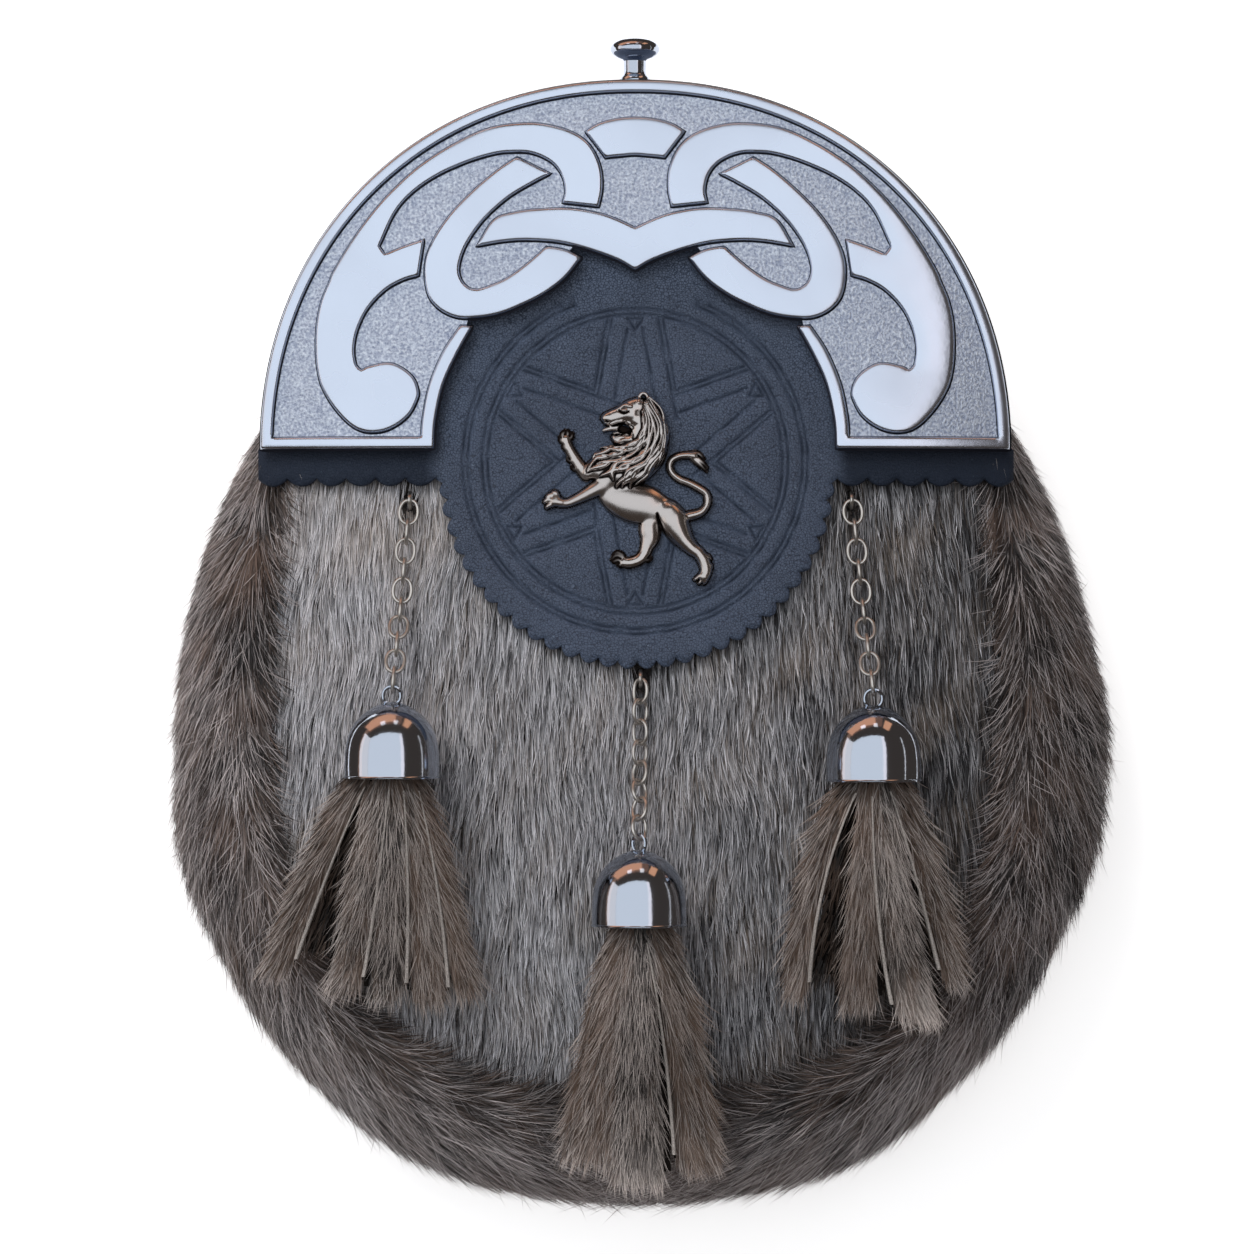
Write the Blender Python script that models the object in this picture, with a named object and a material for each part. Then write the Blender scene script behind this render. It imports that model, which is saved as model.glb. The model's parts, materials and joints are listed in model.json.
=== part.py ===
"""Full-dress sporran pouch, lying on its back.

+Z is up and is the way the front faces, +Y runs towards the clasp knob, +X to the viewer's right.
Every length below is in millimetres; solid() turns them into metres as it makes each object.
Plan positions are taken from a datum on the pouch's middle line, and DATUM_SHIFT moves them so that
the origin lies under the middle of the whole thing.
"""
import math

import bpy
import numpy as np
from mathutils import Matrix, Vector
from mathutils.geometry import delaunay_2d_cdt

MM = 0.001
GAP = 0.3                       # clearance between pieces that touch
CAST_GAP = 1.0                  # under the stiff castings, which touch the leather at a few points
DATUM_SHIFT = (0.1, 0.5)        # x, y from the datum to the origin

# pouch, seen from the front
SEAM_HALF_WIDTH = 74.0          # front seam, at its widest
SEAM_LOWER = 73.0               # from the widest line down to the seam's lowest point
SEAM_UPPER = 128.0              # and up to the hidden top
BODY_Y = -23.7                  # the widest line
LOWER_SQUARENESS = 2.3          # superellipse exponents of the two halves
UPPER_SQUARENESS = 2.6
SEAM_SAMPLES, SEAM_POINTS = 2000, 56
HIDE_THICKNESS = 3.0            # front leather with its short hair
BACK_THICKNESS = 2.0
BACK_LEVEL = 6.6                # underside of the back panel
BACK_EDGE_OUT = 6.2             # back panel's edge outside the front seam, at the widest line
BACK_EDGE_IN = 0.6              # and inside it, at the top
HIDE_GRID, BACK_GRID = 15.0, 40.0

# height of the front: a lower and an upper form, blended along y
LOWER_FORM_Y, UPPER_FORM_Y = -20.0, 60.0
SEAM_HEIGHT = (34.0, 37.0)      # lower, upper
CROWN_HEIGHT = (12.0, 6.0)

# band of long fur round the sides and the bottom
GUSSET_TOP_Y = 44.0             # where both ends stop, behind the cantle
GUSSET_STATIONS = 54
BULGE_FADE, BULGE_POWER = 72.6, 1.8
LOCK_RELIEF = 0.9
LIP_RISE = (2.7, -2.0)          # fur standing over the seam, below and under the tabard
LIP_FADE = (5.0, 22.0)          # y range of that change
# out = base + bulge share, height = share of the seam's height, lip = share of the lip's rise
GUSSET_OUTER = (                # base, bulge, height, lip
    (0.4, 0.0, 1.00, 1.0),
    (2.4, 4.0, 0.99, 1.0),
    (2.4, 11.0, 0.91, 0.5),
    (2.4, 17.0, 0.72, 0.0),
    (2.4, 19.3, 0.48, 0.0),
    (2.4, 17.5, 0.24, 0.0),
    (2.4, 12.0, 0.06, 0.0),
    (2.4, 7.5, 0.00, 0.0),
)
GUSSET_INNER = (
    (0.4, 6.4, 0.02, 0.0),
    (0.4, 6.4, 0.28, 0.0),
    (0.4, 12.5, 0.38, 0.0),
    (0.4, 13.3, 0.52, 0.0),
    (0.4, 10.5, 0.70, 0.0),
    (0.4, 5.0, 0.82, 0.0),
    (0.4, 0.0, 0.89, 0.0),
)

# plain leather that closes the pouch behind the cantle
BAND_GAP, BAND_OUT, BAND_TOP_DROP = 0.4, 2.8, 1.4
BAND_STATIONS = 26
DRILL_HALF_LENGTH = 6.0

# mouth, and the loops for the strap, on the back
MOUTH_Y, MOUTH_HALF_WIDTH, MOUTH_HALF_HEIGHT = 85.0, 46.0, 5.0
MOUTH_SQUARENESS, MOUTH_POINTS = 4.0, 24
LOOP_X, LOOP_Y, LOOP_WIDTH = 38.0, 52.0, 20.0
LOOP_THICKNESS = 1.6
LOOP_HALF_SPAN, LOOP_RAMP, LOOP_FOOT = 13.0, 4.0, 7.0
LOOP_BENDS = (0.6, 1.0)         # how far the inner bends stand inside the outer ones

# tabard
TABARD_THICKNESS = 1.8
DISC_X, DISC_Y, DISC_RADIUS = 0.2, 30.1, 39.6
DISC_TEETH, WING_TEETH = 30, 7
TOOTH_DEPTH = 1.6
WING_X, WING_TIP_Y = 75.8, 27.0
WING_TO_DISC = 1.5              # last tooth of a wing outside the disc
TABARD_INSET = 1.2              # tabard's edge inside the cantle's
TABARD_ARC, TABARD_ARC_POINTS = (2.0, 178.0), 30
TABARD_GRID = 14.0

# cantle
CANTLE_X, CANTLE_Y, CANTLE_FOOT_Y = -0.2, 33.3, 34.4
CANTLE_HALF_WIDTH, CANTLE_RISE, CANTLE_SQUARENESS = 75.0, 74.9, 2.12
CANTLE_ARC, CANTLE_ARC_POINTS = (1.5, 178.5), 34
CANTLE_CORNER_INSET = 0.05
CANTLE_GRID = 15.0
RIM_WIDTH = 2.4
PLATE_THICKNESS, RIBBON_RISE = 1.4, 1.2
# ribbons, left half: the two edges of each, from one end to the other, from the cantle's middle line
RIBBON_BIG_CURL = (             # outer x, y, inner x, y
    (-7.2, 48.4, -14.5, 49.2), (-6.5, 52.1, -14.0, 51.7), (-6.8, 56.3, -14.6, 54.6),
    (-8.6, 60.4, -16.2, 56.9), (-11.5, 63.0, -18.5, 58.4), (-15.9, 64.7, -21.3, 59.3),
    (-21.3, 65.4, -24.4, 59.4), (-28.9, 64.5, -27.7, 59.1), (-35.8, 61.5, -32.7, 57.7),
    (-42.8, 57.1, -38.8, 55.1), (-48.2, 52.3, -44.0, 51.7), (-52.3, 47.8, -47.8, 47.5),
    (-56.3, 42.4, -51.0, 40.7), (-60.1, 36.2, -49.9, 39.2), (-61.1, 33.8, -46.2, 40.7),
    (-61.9, 32.0, -42.0, 42.1), (-62.6, 30.2, -43.1, 34.7), (-63.2, 27.9, -46.2, 33.8),
    (-63.6, 25.5, -49.8, 31.8), (-63.8, 22.9, -53.3, 28.1), (-63.8, 19.9, -55.4, 23.7),
    (-63.5, 16.3, -56.0, 19.9), (-62.5, 12.5, -55.5, 16.9), (-59.9, 8.2, -54.5, 16.0),
    (-56.3, 4.6, -53.1, 16.7), (-52.7, 3.4, -49.2, 17.4), (-48.8, 4.1, -46.4, 16.4),
    (-45.2, 6.6, -44.1, 14.4), (-43.3, 10.0, -43.1, 11.9),
)
RIBBON_LOOP = (
    (-23.6, 58.6, -16.7, 55.1), (-27.7, 55.8, -20.0, 53.4), (-32.7, 51.5, -25.3, 50.2),
    (-37.2, 46.7, -30.2, 45.7), (-40.6, 41.4, -33.6, 40.8), (-42.0, 36.6, -35.0, 36.6),
    (-41.4, 31.2, -34.6, 34.0), (-39.2, 28.1, -33.3, 32.5), (-35.6, 26.3, -31.5, 32.0),
    (-31.6, 26.2, -29.1, 32.7), (-26.9, 27.0, -26.0, 34.0), (-22.1, 28.9, -23.0, 36.0),
    (-17.9, 31.1, -20.2, 38.3), (-13.9, 34.2, -17.7, 40.6), (-10.6, 38.3, -13.9, 39.9),
)
RIBBON_CHEVRON = (
    (-28.3, 45.9, -31.7, 40.5), (-23.8, 47.5, -26.4, 41.4), (-18.8, 48.1, -21.3, 41.7),
    (-12.9, 48.2, -14.9, 41.2), (-7.4, 47.3, -9.0, 39.7), (-3.6, 46.0, -3.5, 37.7),
    (0.0, 44.3, 0.0, 35.7),
)
RIBBON_CROWN = (
    (-10.0, 63.6, -5.9, 58.2), (-7.4, 65.2, -4.8, 58.4), (-3.8, 66.2, -2.6, 58.6),
    (0.0, 66.5, 0.0, 58.8),
)
RIBBON_LEG = (
    (-32.3, 24.6, -34.8, 24.9), (-35.5, 18.8, -38.2, 19.7), (-38.2, 12.7, -41.0, 13.0),
    (-39.7, 5.7, -42.3, 6.6), (-40.0, 0.4, -42.6, 1.6),
)
# the plate's inner edge, left half, under the middle of the ribbons that frame the disc
PLATE_INNER = (
    (-41.0, 0.0), (-40.9, 5.8), (-39.5, 12.7), (-36.7, 18.9), (-33.6, 24.7), (-32.5, 28.2),
    (-27.3, 29.2), (-22.5, 31.2), (-18.6, 33.6), (-15.2, 36.6), (-12.6, 40.2), (-9.0, 42.6),
    (-4.0, 41.4), (0.0, 39.6),
)
RIBBON_FOOT_Y = 34.2            # the line that the ribbons' y values start from

# knob, turned about +Y: distance from the band, radius
KNOB_Z = 24.0
KNOB_PROFILE = (
    (-5.0, 3.0), (-3.4, 3.0), (-3.4, 1.5), (0.0, 1.5), (0.0, 3.2), (2.6, 3.2), (3.7, 2.3),
    (6.4, 2.3), (7.2, 4.4), (8.6, 5.1), (10.0, 4.4), (10.9, 2.2),
)
KNOB_HOLE_RADIUS, KNOB_SIDES = 1.9, 12

# lion badge: centre lines of its limbs, from the badge's middle, and half widths
LION_X, LION_Y = -2.7, 26.6
LION_BACKING, LION_DOME = 0.8, 0.62
LION_GRID = 3.4
LION_LIMBS = (                  # rows of x, y, half width
    ((-0.6, -0.6, 3.9), (2.0, -2.8, 4.0), (4.6, -4.8, 3.6), (7.6, -5.6, 3.5), (10.2, -6.1, 3.5)),
    ((-6.6, 3.6, 1.7), (-4.6, 3.9, 3.3), (-1.0, 4.6, 4.6), (2.6, 5.4, 5.2), (4.4, 8.6, 5.0),
     (4.7, 12.0, 4.6), (3.4, 15.0, 3.8), (2.4, 17.4, 2.2)),
    ((3.4, 14.6, 3.2), (0.8, 14.9, 3.0), (-1.6, 14.4, 1.9), (-3.4, 14.0, 1.2)),
    ((2.6, 10.4, 1.7), (0.4, 10.3, 1.6), (-1.6, 10.6, 0.9)),
    ((-6.2, 2.6, 1.9), (-8.6, 5.2, 1.4), (-10.4, 7.8, 1.15), (-11.1, 9.6, 1.2), (-11.5, 11.0, 1.5)),
    ((-2.4, 0.4, 2.6), (-6.6, -0.7, 1.8), (-9.7, -2.6, 1.3), (-12.0, -3.3, 1.25), (-14.2, -2.7, 1.5)),
    ((10.4, -6.6, 3.5), (10.8, -9.2, 2.8), (12.4, -11.8, 1.9), (14.6, -13.0, 1.4), (15.9, -14.6, 1.3),
     (16.2, -16.6, 1.3), (15.4, -18.1, 1.6)),
    ((6.4, -7.8, 2.6), (4.8, -10.4, 1.8), (4.6, -12.8, 1.5), (4.0, -14.2, 1.5), (1.6, -14.9, 1.3),
     (-0.9, -14.2, 1.6)),
    ((12.0, -5.6, 1.2), (15.8, -4.7, 0.85), (17.4, -2.6, 0.85), (17.2, -0.8, 0.85), (15.4, 0.6, 0.8),
     (12.4, 1.4, 0.75), (10.2, 2.4, 0.7), (9.3, 4.2, 0.7), (9.8, 5.8, 0.7), (11.6, 6.6, 0.7),
     (13.8, 6.4, 0.8), (15.4, 5.2, 0.75), (16.5, 3.4, 0.4)),
)

# chains
LINK_LENGTH, LINK_WIDTH, LINK_WIRE = 5.6, 4.0, 0.65
LINK_SECTIONS, WIRE_SIDES = 10, 5
EYE_RADIUS, EYE_SINK = 1.75, 0.6    # bell's eye to the middle of its wire, and its depth in the crown
EYE_SLACK = 0.8                 # last link's wire above the eye's middle
LINK_LIFT = (1.9, 2.5)          # chain's middle above the hide, at its hole and along its run
LINK_SETTLED, CHAIN_RISES = 0.15, 0.45      # shares of the run: lift reached, rise to the bell begun
HOLE_RADIUS, HOLE_SIDES = 2.6, 12
ANCHOR_LENGTH, ANCHOR_WIDTH, ANCHOR_SINK = 7.6, 4.0, 0.6
TOGGLE_LENGTH, TOGGLE_RADIUS, TOGGLE_SIDES = 9.0, 0.9, 8
# bells: distance from the mouth, outer radius
BELL_PROFILE = (
    (0.0, 9.4), (0.8, 9.45), (4.5, 9.35), (8.2, 8.8), (11.2, 7.2), (13.4, 4.8), (14.7, 2.4),
)
BELL_HEIGHT, BELL_WALL, BELL_SIDES = 15.2, 0.8, 12
BELL_TIP_RADIUS, BELL_ROOF_DROP = 0.6, 0.35
BELL_LIFT = 11.0                # bell's axis above the hide
# hole x, y; bell's mouth x, y; number of links; roll of the first link in degrees
CHAINS = {
    "left": ((-45.1, 24.2), (-48.2, -31.0), 10, 0.0),
    "right": ((43.0, 24.2), (46.9, -31.6), 10, 0.0),
    "centre": ((0.9, -11.4), (0.6, -60.1), 8, 45.0),
}

# tassels: strips from the bell's mouth, as sideways and downward distance of the tip, half width there
TASSEL_STRIPS = {
    "left": ((-21.0, 35.5, 4.0), (-11.2, 40.5, 4.6), (-2.6, 42.0, 4.6), (4.6, 41.6, 4.0),
             (11.2, 39.6, 3.6)),
    "right": ((-11.8, 39.8, 3.7), (-3.4, 41.0, 4.6), (4.6, 41.6, 4.4), (10.4, 43.6, 3.8),
              (14.6, 36.8, 3.2)),
    "centre": ((-9.6, 46.0, 4.6), (-2.6, 49.4, 4.6), (4.2, 49.6, 4.4), (10.8, 47.0, 4.2)),
}
TASSEL_NECK, TASSEL_HEAD_RADIUS, TASSEL_HEAD_DEPTH = 1.9, 5.6, 11.0
TASSEL_HEAD_GAP, TASSEL_HEAD_FOOT = 0.1, 3.0
TASSEL_HEAD_CHAMFER = (1.6, 2.5)            # x, y
TASSEL_TIP_THICKNESS, TASSEL_REST_LEVEL = 7.2, 37.6
TASSEL_EDGE_SHARE = 0.12                    # least square of the thickness share at a tassel's sides
TASSEL_GRID = 5.5
STRIP_CROWN, STRIP_INSIDE, STRIP_MIDDLE_WIDTH = 0.25, 1.5, 0.8

BLACK_LEATHER = ((0.022, 0.027, 0.038), 0.55, 0.0)          # colour, roughness, metallic
HIDE = ((0.20, 0.175, 0.16), 0.85, 0.0)
LONG_FUR = ((0.085, 0.068, 0.058), 0.9, 0.0)
CAST_STEEL = ((0.56, 0.58, 0.62), 0.32, 1.0)
DARK_CHROME = ((0.16, 0.15, 0.15), 0.12, 1.0)
AGED_SILVER = ((0.42, 0.38, 0.34), 0.25, 1.0)
PEWTER_WIRE = ((0.20, 0.18, 0.16), 0.3, 1.0)
FUR_SMOOTH, WIRE_SMOOTH, TURNED_SMOOTH = 80.0, 60.0, 40.0       # degrees

GRID_CLEARANCE = 0.45           # share of a grid's spacing that its points keep from an outline
SAME_POINT, SLIVER = 1e-4, 1e-7


# ---------------------------------------------------------------- objects and materials

def clear_scene():
    for item in list(bpy.data.objects):
        bpy.data.objects.remove(item, do_unlink=True)


def material(name, finish):
    """Principled material: base colour, roughness, metallic."""
    colour, roughness, metallic = finish
    made = bpy.data.materials.new(name)
    made.use_nodes = True
    shader = made.node_tree.nodes["Principled BSDF"]
    shader.inputs["Base Color"].default_value = (*colour, 1.0)
    shader.inputs["Roughness"].default_value = roughness
    shader.inputs["Metallic"].default_value = metallic
    return made


def solid(name, points, faces, finish, smooth_degrees=None, placed=None):
    """Make one closed body from points in millimetres; placed is its matrix, whose move is in metres."""
    shift = np.array((*DATUM_SHIFT, 0.0)) if placed is None else np.zeros(3)
    mesh = bpy.data.meshes.new(name)
    mesh.from_pydata(((np.asarray(points) + shift) * MM).tolist(), [], [list(map(int, f)) for f in faces])
    if smooth_degrees is not None:
        mesh.shade_smooth()
        mesh.set_sharp_from_angle(angle=math.radians(smooth_degrees))
    made = bpy.data.objects.new(name, mesh)
    bpy.context.scene.collection.objects.link(made)
    made.data.materials.append(material(name, finish))
    if placed is not None:
        made.matrix_world = placed
    return made


def placing(centre, along, up):
    """Matrix that stands local X along a direction and local Z near up, at a centre in millimetres."""
    x = Vector(along).normalized()
    y = Vector(up).cross(x).normalized()
    z = x.cross(y)
    turn = Matrix((x, y, z)).transposed().to_4x4()
    shifted = Vector(centre) + Vector((*DATUM_SHIFT, 0.0))
    return Matrix.Translation(shifted * MM) @ turn


def cut_or_join(target, other, operation):
    """Apply an exact boolean and take the other solid away."""
    bpy.context.view_layer.update()
    step = target.modifiers.new(operation.lower(), "BOOLEAN")
    step.operation = operation
    step.object = other
    step.solver = "EXACT"
    evaluated = target.evaluated_get(bpy.context.evaluated_depsgraph_get())
    result = bpy.data.meshes.new_from_object(evaluated)
    target.modifiers.clear()
    target.data = result
    bpy.data.objects.remove(other, do_unlink=True)


# ---------------------------------------------------------------- the pouch's form

def blend(y, start, end):
    """Smooth step from 0 at start to 1 at end."""
    t = np.clip((np.asarray(y, float) - start) / (end - start), 0.0, 1.0)
    return t * t * (3.0 - 2.0 * t)


def seam_height(y):
    return SEAM_HEIGHT[0] + (SEAM_HEIGHT[1] - SEAM_HEIGHT[0]) * blend(y, LOWER_FORM_Y, UPPER_FORM_Y)


def seam_ratio(x, y):
    """0 at the body's middle, 1 on the front seam: the superellipse's own radius."""
    rise = np.asarray(y, float) - BODY_Y
    upper = rise > 0
    power = np.where(upper, UPPER_SQUARENESS, LOWER_SQUARENESS)
    height = np.where(upper, SEAM_UPPER, SEAM_LOWER)
    return (np.abs(x / SEAM_HALF_WIDTH) ** power + np.abs(rise / height) ** power) ** (1.0 / power)


def front_height(x, y):
    """Top of the hide: the seam's height plus a crown that falls off with the cube of the ratio."""
    crown = CROWN_HEIGHT[0] + (CROWN_HEIGHT[1] - CROWN_HEIGHT[0]) * blend(y, LOWER_FORM_Y, UPPER_FORM_Y)
    return seam_height(y) + crown * (1.0 - seam_ratio(x, y) ** 3)


def above_front(lift):
    """Surface at a constant height over the hide."""
    return lambda x, y: front_height(x, y) + lift


def seam_frame(angles):
    """Points of the front seam and its outward normals, at superellipse angles."""
    c, s = np.cos(angles), np.sin(angles)
    upper = s > 0
    power = np.where(upper, UPPER_SQUARENESS, LOWER_SQUARENESS)
    height = np.where(upper, SEAM_UPPER, SEAM_LOWER)
    u = np.sign(c) * np.abs(c) ** (2.0 / power)
    v = np.sign(s) * np.abs(s) ** (2.0 / power)
    nx = np.sign(c) * np.abs(u) ** (power - 1.0) / SEAM_HALF_WIDTH
    ny = np.sign(s) * np.abs(v) ** (power - 1.0) / height
    length = np.hypot(nx, ny)
    points = np.stack((SEAM_HALF_WIDTH * u, BODY_Y + height * v), axis=1)
    return points, np.stack((nx / length, ny / length), axis=1)


def even_angles(first, last, count):
    """Superellipse angles whose points are evenly spaced along the seam."""
    dense = np.linspace(first, last, SEAM_SAMPLES)
    points, _ = seam_frame(dense)
    run = np.concatenate(([0.0], np.cumsum(np.hypot(*np.diff(points, axis=0).T))))
    return np.interp(np.linspace(0.0, run[-1], count), run, dense)


def angle_at(y):
    """Superellipse angle on the right side where the seam passes a height above the widest line."""
    return math.asin(((y - BODY_Y) / SEAM_UPPER) ** (UPPER_SQUARENESS / 2.0))


def bulge_share(y):
    """How far the gusset swells at a height: 1 up to the widest line, fading towards its ends."""
    rise = np.maximum(np.asarray(y, float) - BODY_Y, 0.0)
    return np.clip(1.0 - (rise / BULGE_FADE) ** BULGE_POWER, 0.0, 1.0)


# ---------------------------------------------------------------- relief sheets

def inside(points, outline):
    """Which points have a winding number other than 0 about a closed outline."""
    a = np.asarray(outline, float)
    b = np.roll(a, -1, axis=0)
    x, y = points[:, 0, None], points[:, 1, None]
    side = (b[:, 0] - a[:, 0]) * (y - a[:, 1]) - (x - a[:, 0]) * (b[:, 1] - a[:, 1])
    up = (a[:, 1] <= y) & (b[:, 1] > y) & (side > 0)
    down = (a[:, 1] > y) & (b[:, 1] <= y) & (side < 0)
    return up.sum(1) != down.sum(1)


def clear_of(points, outlines, distance):
    """Which points keep a distance from every outline."""
    keep = np.ones(len(points), bool)
    for outline in outlines:
        a = np.asarray(outline, float)
        run = np.roll(a, -1, axis=0) - a
        offset = points[:, None, :] - a
        t = np.clip((offset * run).sum(2) / np.maximum((run * run).sum(1), SLIVER), 0.0, 1.0)
        keep &= np.linalg.norm(offset - t[..., None] * run, axis=2).min(1) > distance
    return keep


def relief_sheet(name, levels, floor, tops, finish, spacing, holes=(), extra=()):
    """Closed sheet over a floor surface: the union of each level's outlines rises to that level's top.

    The plan is triangulated with every outline as an edge line.  A triangle takes the highest level
    that it lies in.  Upright walls join levels that meet, one course for each level, so that every
    edge has two faces.
    """
    outlines = [loop for level in levels for loop in level] + list(holes)
    everything = np.concatenate([np.asarray(loop, float) for loop in outlines])
    low, high = everything.min(0), everything.max(0)
    grid = np.stack(np.meshgrid(np.arange(low[0] + spacing / 2, high[0], spacing),
                                np.arange(low[1] + spacing / 2, high[1], spacing)), -1).reshape(-1, 2)
    grid = grid[clear_of(grid, outlines, GRID_CLEARANCE * spacing)]
    loose = np.concatenate((grid, np.asarray(extra, float).reshape(-1, 2)))
    edges = []
    count = 0
    for loop in outlines:
        edges += [(count + i, count + (i + 1) % len(loop)) for i in range(len(loop))]
        count += len(loop)
    plan = [Vector(p) for p in np.concatenate((everything, loose)).tolist()]
    flat, _, triangles, *_ = delaunay_2d_cdt(plan, edges, [], 0, SAME_POINT)
    xy = np.array([tuple(p) for p in flat])
    tri = np.array(triangles)
    corner = xy[tri]
    doubled = np.cross(corner[:, 1] - corner[:, 0], corner[:, 2] - corner[:, 0])
    tri = tri[np.abs(doubled) > SLIVER]
    middle = xy[tri].mean(1)
    level = np.zeros(len(tri), int)
    for number, loops in enumerate(levels, 1):
        for loop in loops:
            level[inside(middle, loop)] = number
    for loop in holes:
        level[inside(middle, loop)] = 0
    heights = [floor(xy[:, 0], xy[:, 1])] + [top(xy[:, 0], xy[:, 1]) for top in tops]
    size = len(xy)
    faces = []
    owner = {}
    for (a, b, c), rank in zip(tri.tolist(), level.tolist()):
        for edge in ((a, b), (b, c), (c, a)):
            owner[edge] = rank
        if rank:
            faces += [(a + rank * size, b + rank * size, c + rank * size), (c, b, a)]
    for (a, b), rank in owner.items():
        for course in range(owner.get((b, a), 0), rank):
            low_a, low_b = a + course * size, b + course * size
            faces.append((low_a + size, low_a, low_b, low_b + size))
    points = np.concatenate([np.column_stack((xy, z)) for z in heights])
    used = sorted({i for face in faces for i in face})
    renumber = {old: new for new, old in enumerate(used)}
    return solid(name, points[used], [[renumber[i] for i in face] for face in faces], finish)


def superellipse(x, y, half_width, half_height, power, first, last, count):
    """Arc of a superellipse between two angles in degrees."""
    t = np.radians(np.linspace(first, last, count))
    c, s = np.cos(t), np.sin(t)
    return np.stack((x + half_width * np.sign(c) * np.abs(c) ** (2.0 / power),
                     y + half_height * np.sign(s) * np.abs(s) ** (2.0 / power)), axis=1)


def closed_loop(x, y, half_width, half_height, power, sides):
    """Whole superellipse with its first point once only."""
    return superellipse(x, y, half_width, half_height, power, 0.0, 360.0, sides + 1)[:-1]


def stroke(rows, cap_steps=3):
    """Outline of a limb: its centre line widened by its own half widths, with round ends."""
    rows = np.asarray(rows, float)
    heading = np.gradient(rows[:, :2], axis=0)
    heading /= np.linalg.norm(heading, axis=1)[:, None]
    normal = np.stack((-heading[:, 1], heading[:, 0]), axis=1)
    left = rows[:, :2] + normal * rows[:, 2:]
    right = rows[:, :2] - normal * rows[:, 2:]

    def cap(row, side, forward):
        turns = np.radians(np.linspace(0.0, 180.0, cap_steps + 2)[1:-1])
        return [row[:2] + row[2] * (math.cos(a) * side + math.sin(a) * forward) for a in turns]

    end = cap(rows[-1], -normal[-1], heading[-1])
    start = cap(rows[0], normal[0], -heading[0])
    return np.array([*right, *end, *left[::-1], *start])


def limb_dome(x, y, limbs):
    """Height of the roundest limb over each point: a circle's section, from 0 at its edge."""
    best = np.zeros(np.shape(x))
    for rows in limbs:
        for (ax, ay, ar), (bx, by, br) in zip(rows[:-1], rows[1:]):
            run_x, run_y = bx - ax, by - ay
            t = np.clip(((x - ax) * run_x + (y - ay) * run_y) / (run_x ** 2 + run_y ** 2), 0.0, 1.0)
            radius = ar + t * (br - ar)
            distance = np.hypot(x - ax - t * run_x, y - ay - t * run_y)
            best = np.maximum(best, np.sqrt(np.maximum(radius ** 2 - distance ** 2, 0.0)))
    return best


# ---------------------------------------------------------------- leather and fur pieces

def whole_seam():
    return seam_frame(even_angles(0.0, 2.0 * math.pi, SEAM_POINTS + 1)[:-1])


def level(height):
    return lambda x, y: np.full(np.shape(x), height)


def make_back_panel():
    """Flat sheet with the mouth's slot; its edge stands outside the seam where the band of fur swells."""
    points, normals = whole_seam()
    out = bulge_share(points[:, 1]) * (BACK_EDGE_OUT + BACK_EDGE_IN) - BACK_EDGE_IN
    mouth = closed_loop(0.0, MOUTH_Y, MOUTH_HALF_WIDTH, MOUTH_HALF_HEIGHT, MOUTH_SQUARENESS, MOUTH_POINTS)
    relief_sheet("back_panel", [[points + normals * out[:, None]]], level(BACK_LEVEL),
                 [level(BACK_LEVEL + BACK_THICKNESS)], BLACK_LEATHER, BACK_GRID, holes=[mouth])


def make_belt_loops():
    """Strip that stands off the back panel between two stitched feet; its flat run lies at z = 0."""
    foot_top = BACK_LEVEL - GAP
    foot_y = LOOP_HALF_SPAN + LOOP_RAMP
    foot_low = foot_top - LOOP_THICKNESS
    end_y = foot_y + LOOP_FOOT
    low_bend, high_bend = LOOP_HALF_SPAN - LOOP_BENDS[0], foot_y - LOOP_BENDS[1]
    outer = ((-end_y, foot_low), (-foot_y, foot_low), (-LOOP_HALF_SPAN, 0.0), (LOOP_HALF_SPAN, 0.0),
             (foot_y, foot_low), (end_y, foot_low))
    inner = ((end_y, foot_top), (high_bend, foot_top), (low_bend, LOOP_THICKNESS),
             (-low_bend, LOOP_THICKNESS), (-high_bend, foot_top), (-end_y, foot_top))
    profile = outer + inner
    count = len(profile)
    faces = [tuple(range(count - 1, -1, -1)), tuple(range(count, 2 * count))]
    faces += [(i, (i + 1) % count, count + (i + 1) % count, count + i) for i in range(count)]
    for side, sign in (("left", -1.0), ("right", 1.0)):
        ends = (sign * LOOP_X - LOOP_WIDTH / 2, sign * LOOP_X + LOOP_WIDTH / 2)
        points = [(x, LOOP_Y + y, z) for x in ends for y, z in profile]
        solid(f"belt_loop_{side}", points, faces, BLACK_LEATHER)


def make_front_panel():
    outline, _ = whole_seam()
    holes = [closed_loop(*hole, HOLE_RADIUS, HOLE_RADIUS, 2.0, HOLE_SIDES) for hole, *_ in CHAINS.values()]
    relief_sheet("front_panel", [[outline]], above_front(-HIDE_THICKNESS), [above_front(0.0)], HIDE,
                 HIDE_GRID, holes=holes)


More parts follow.
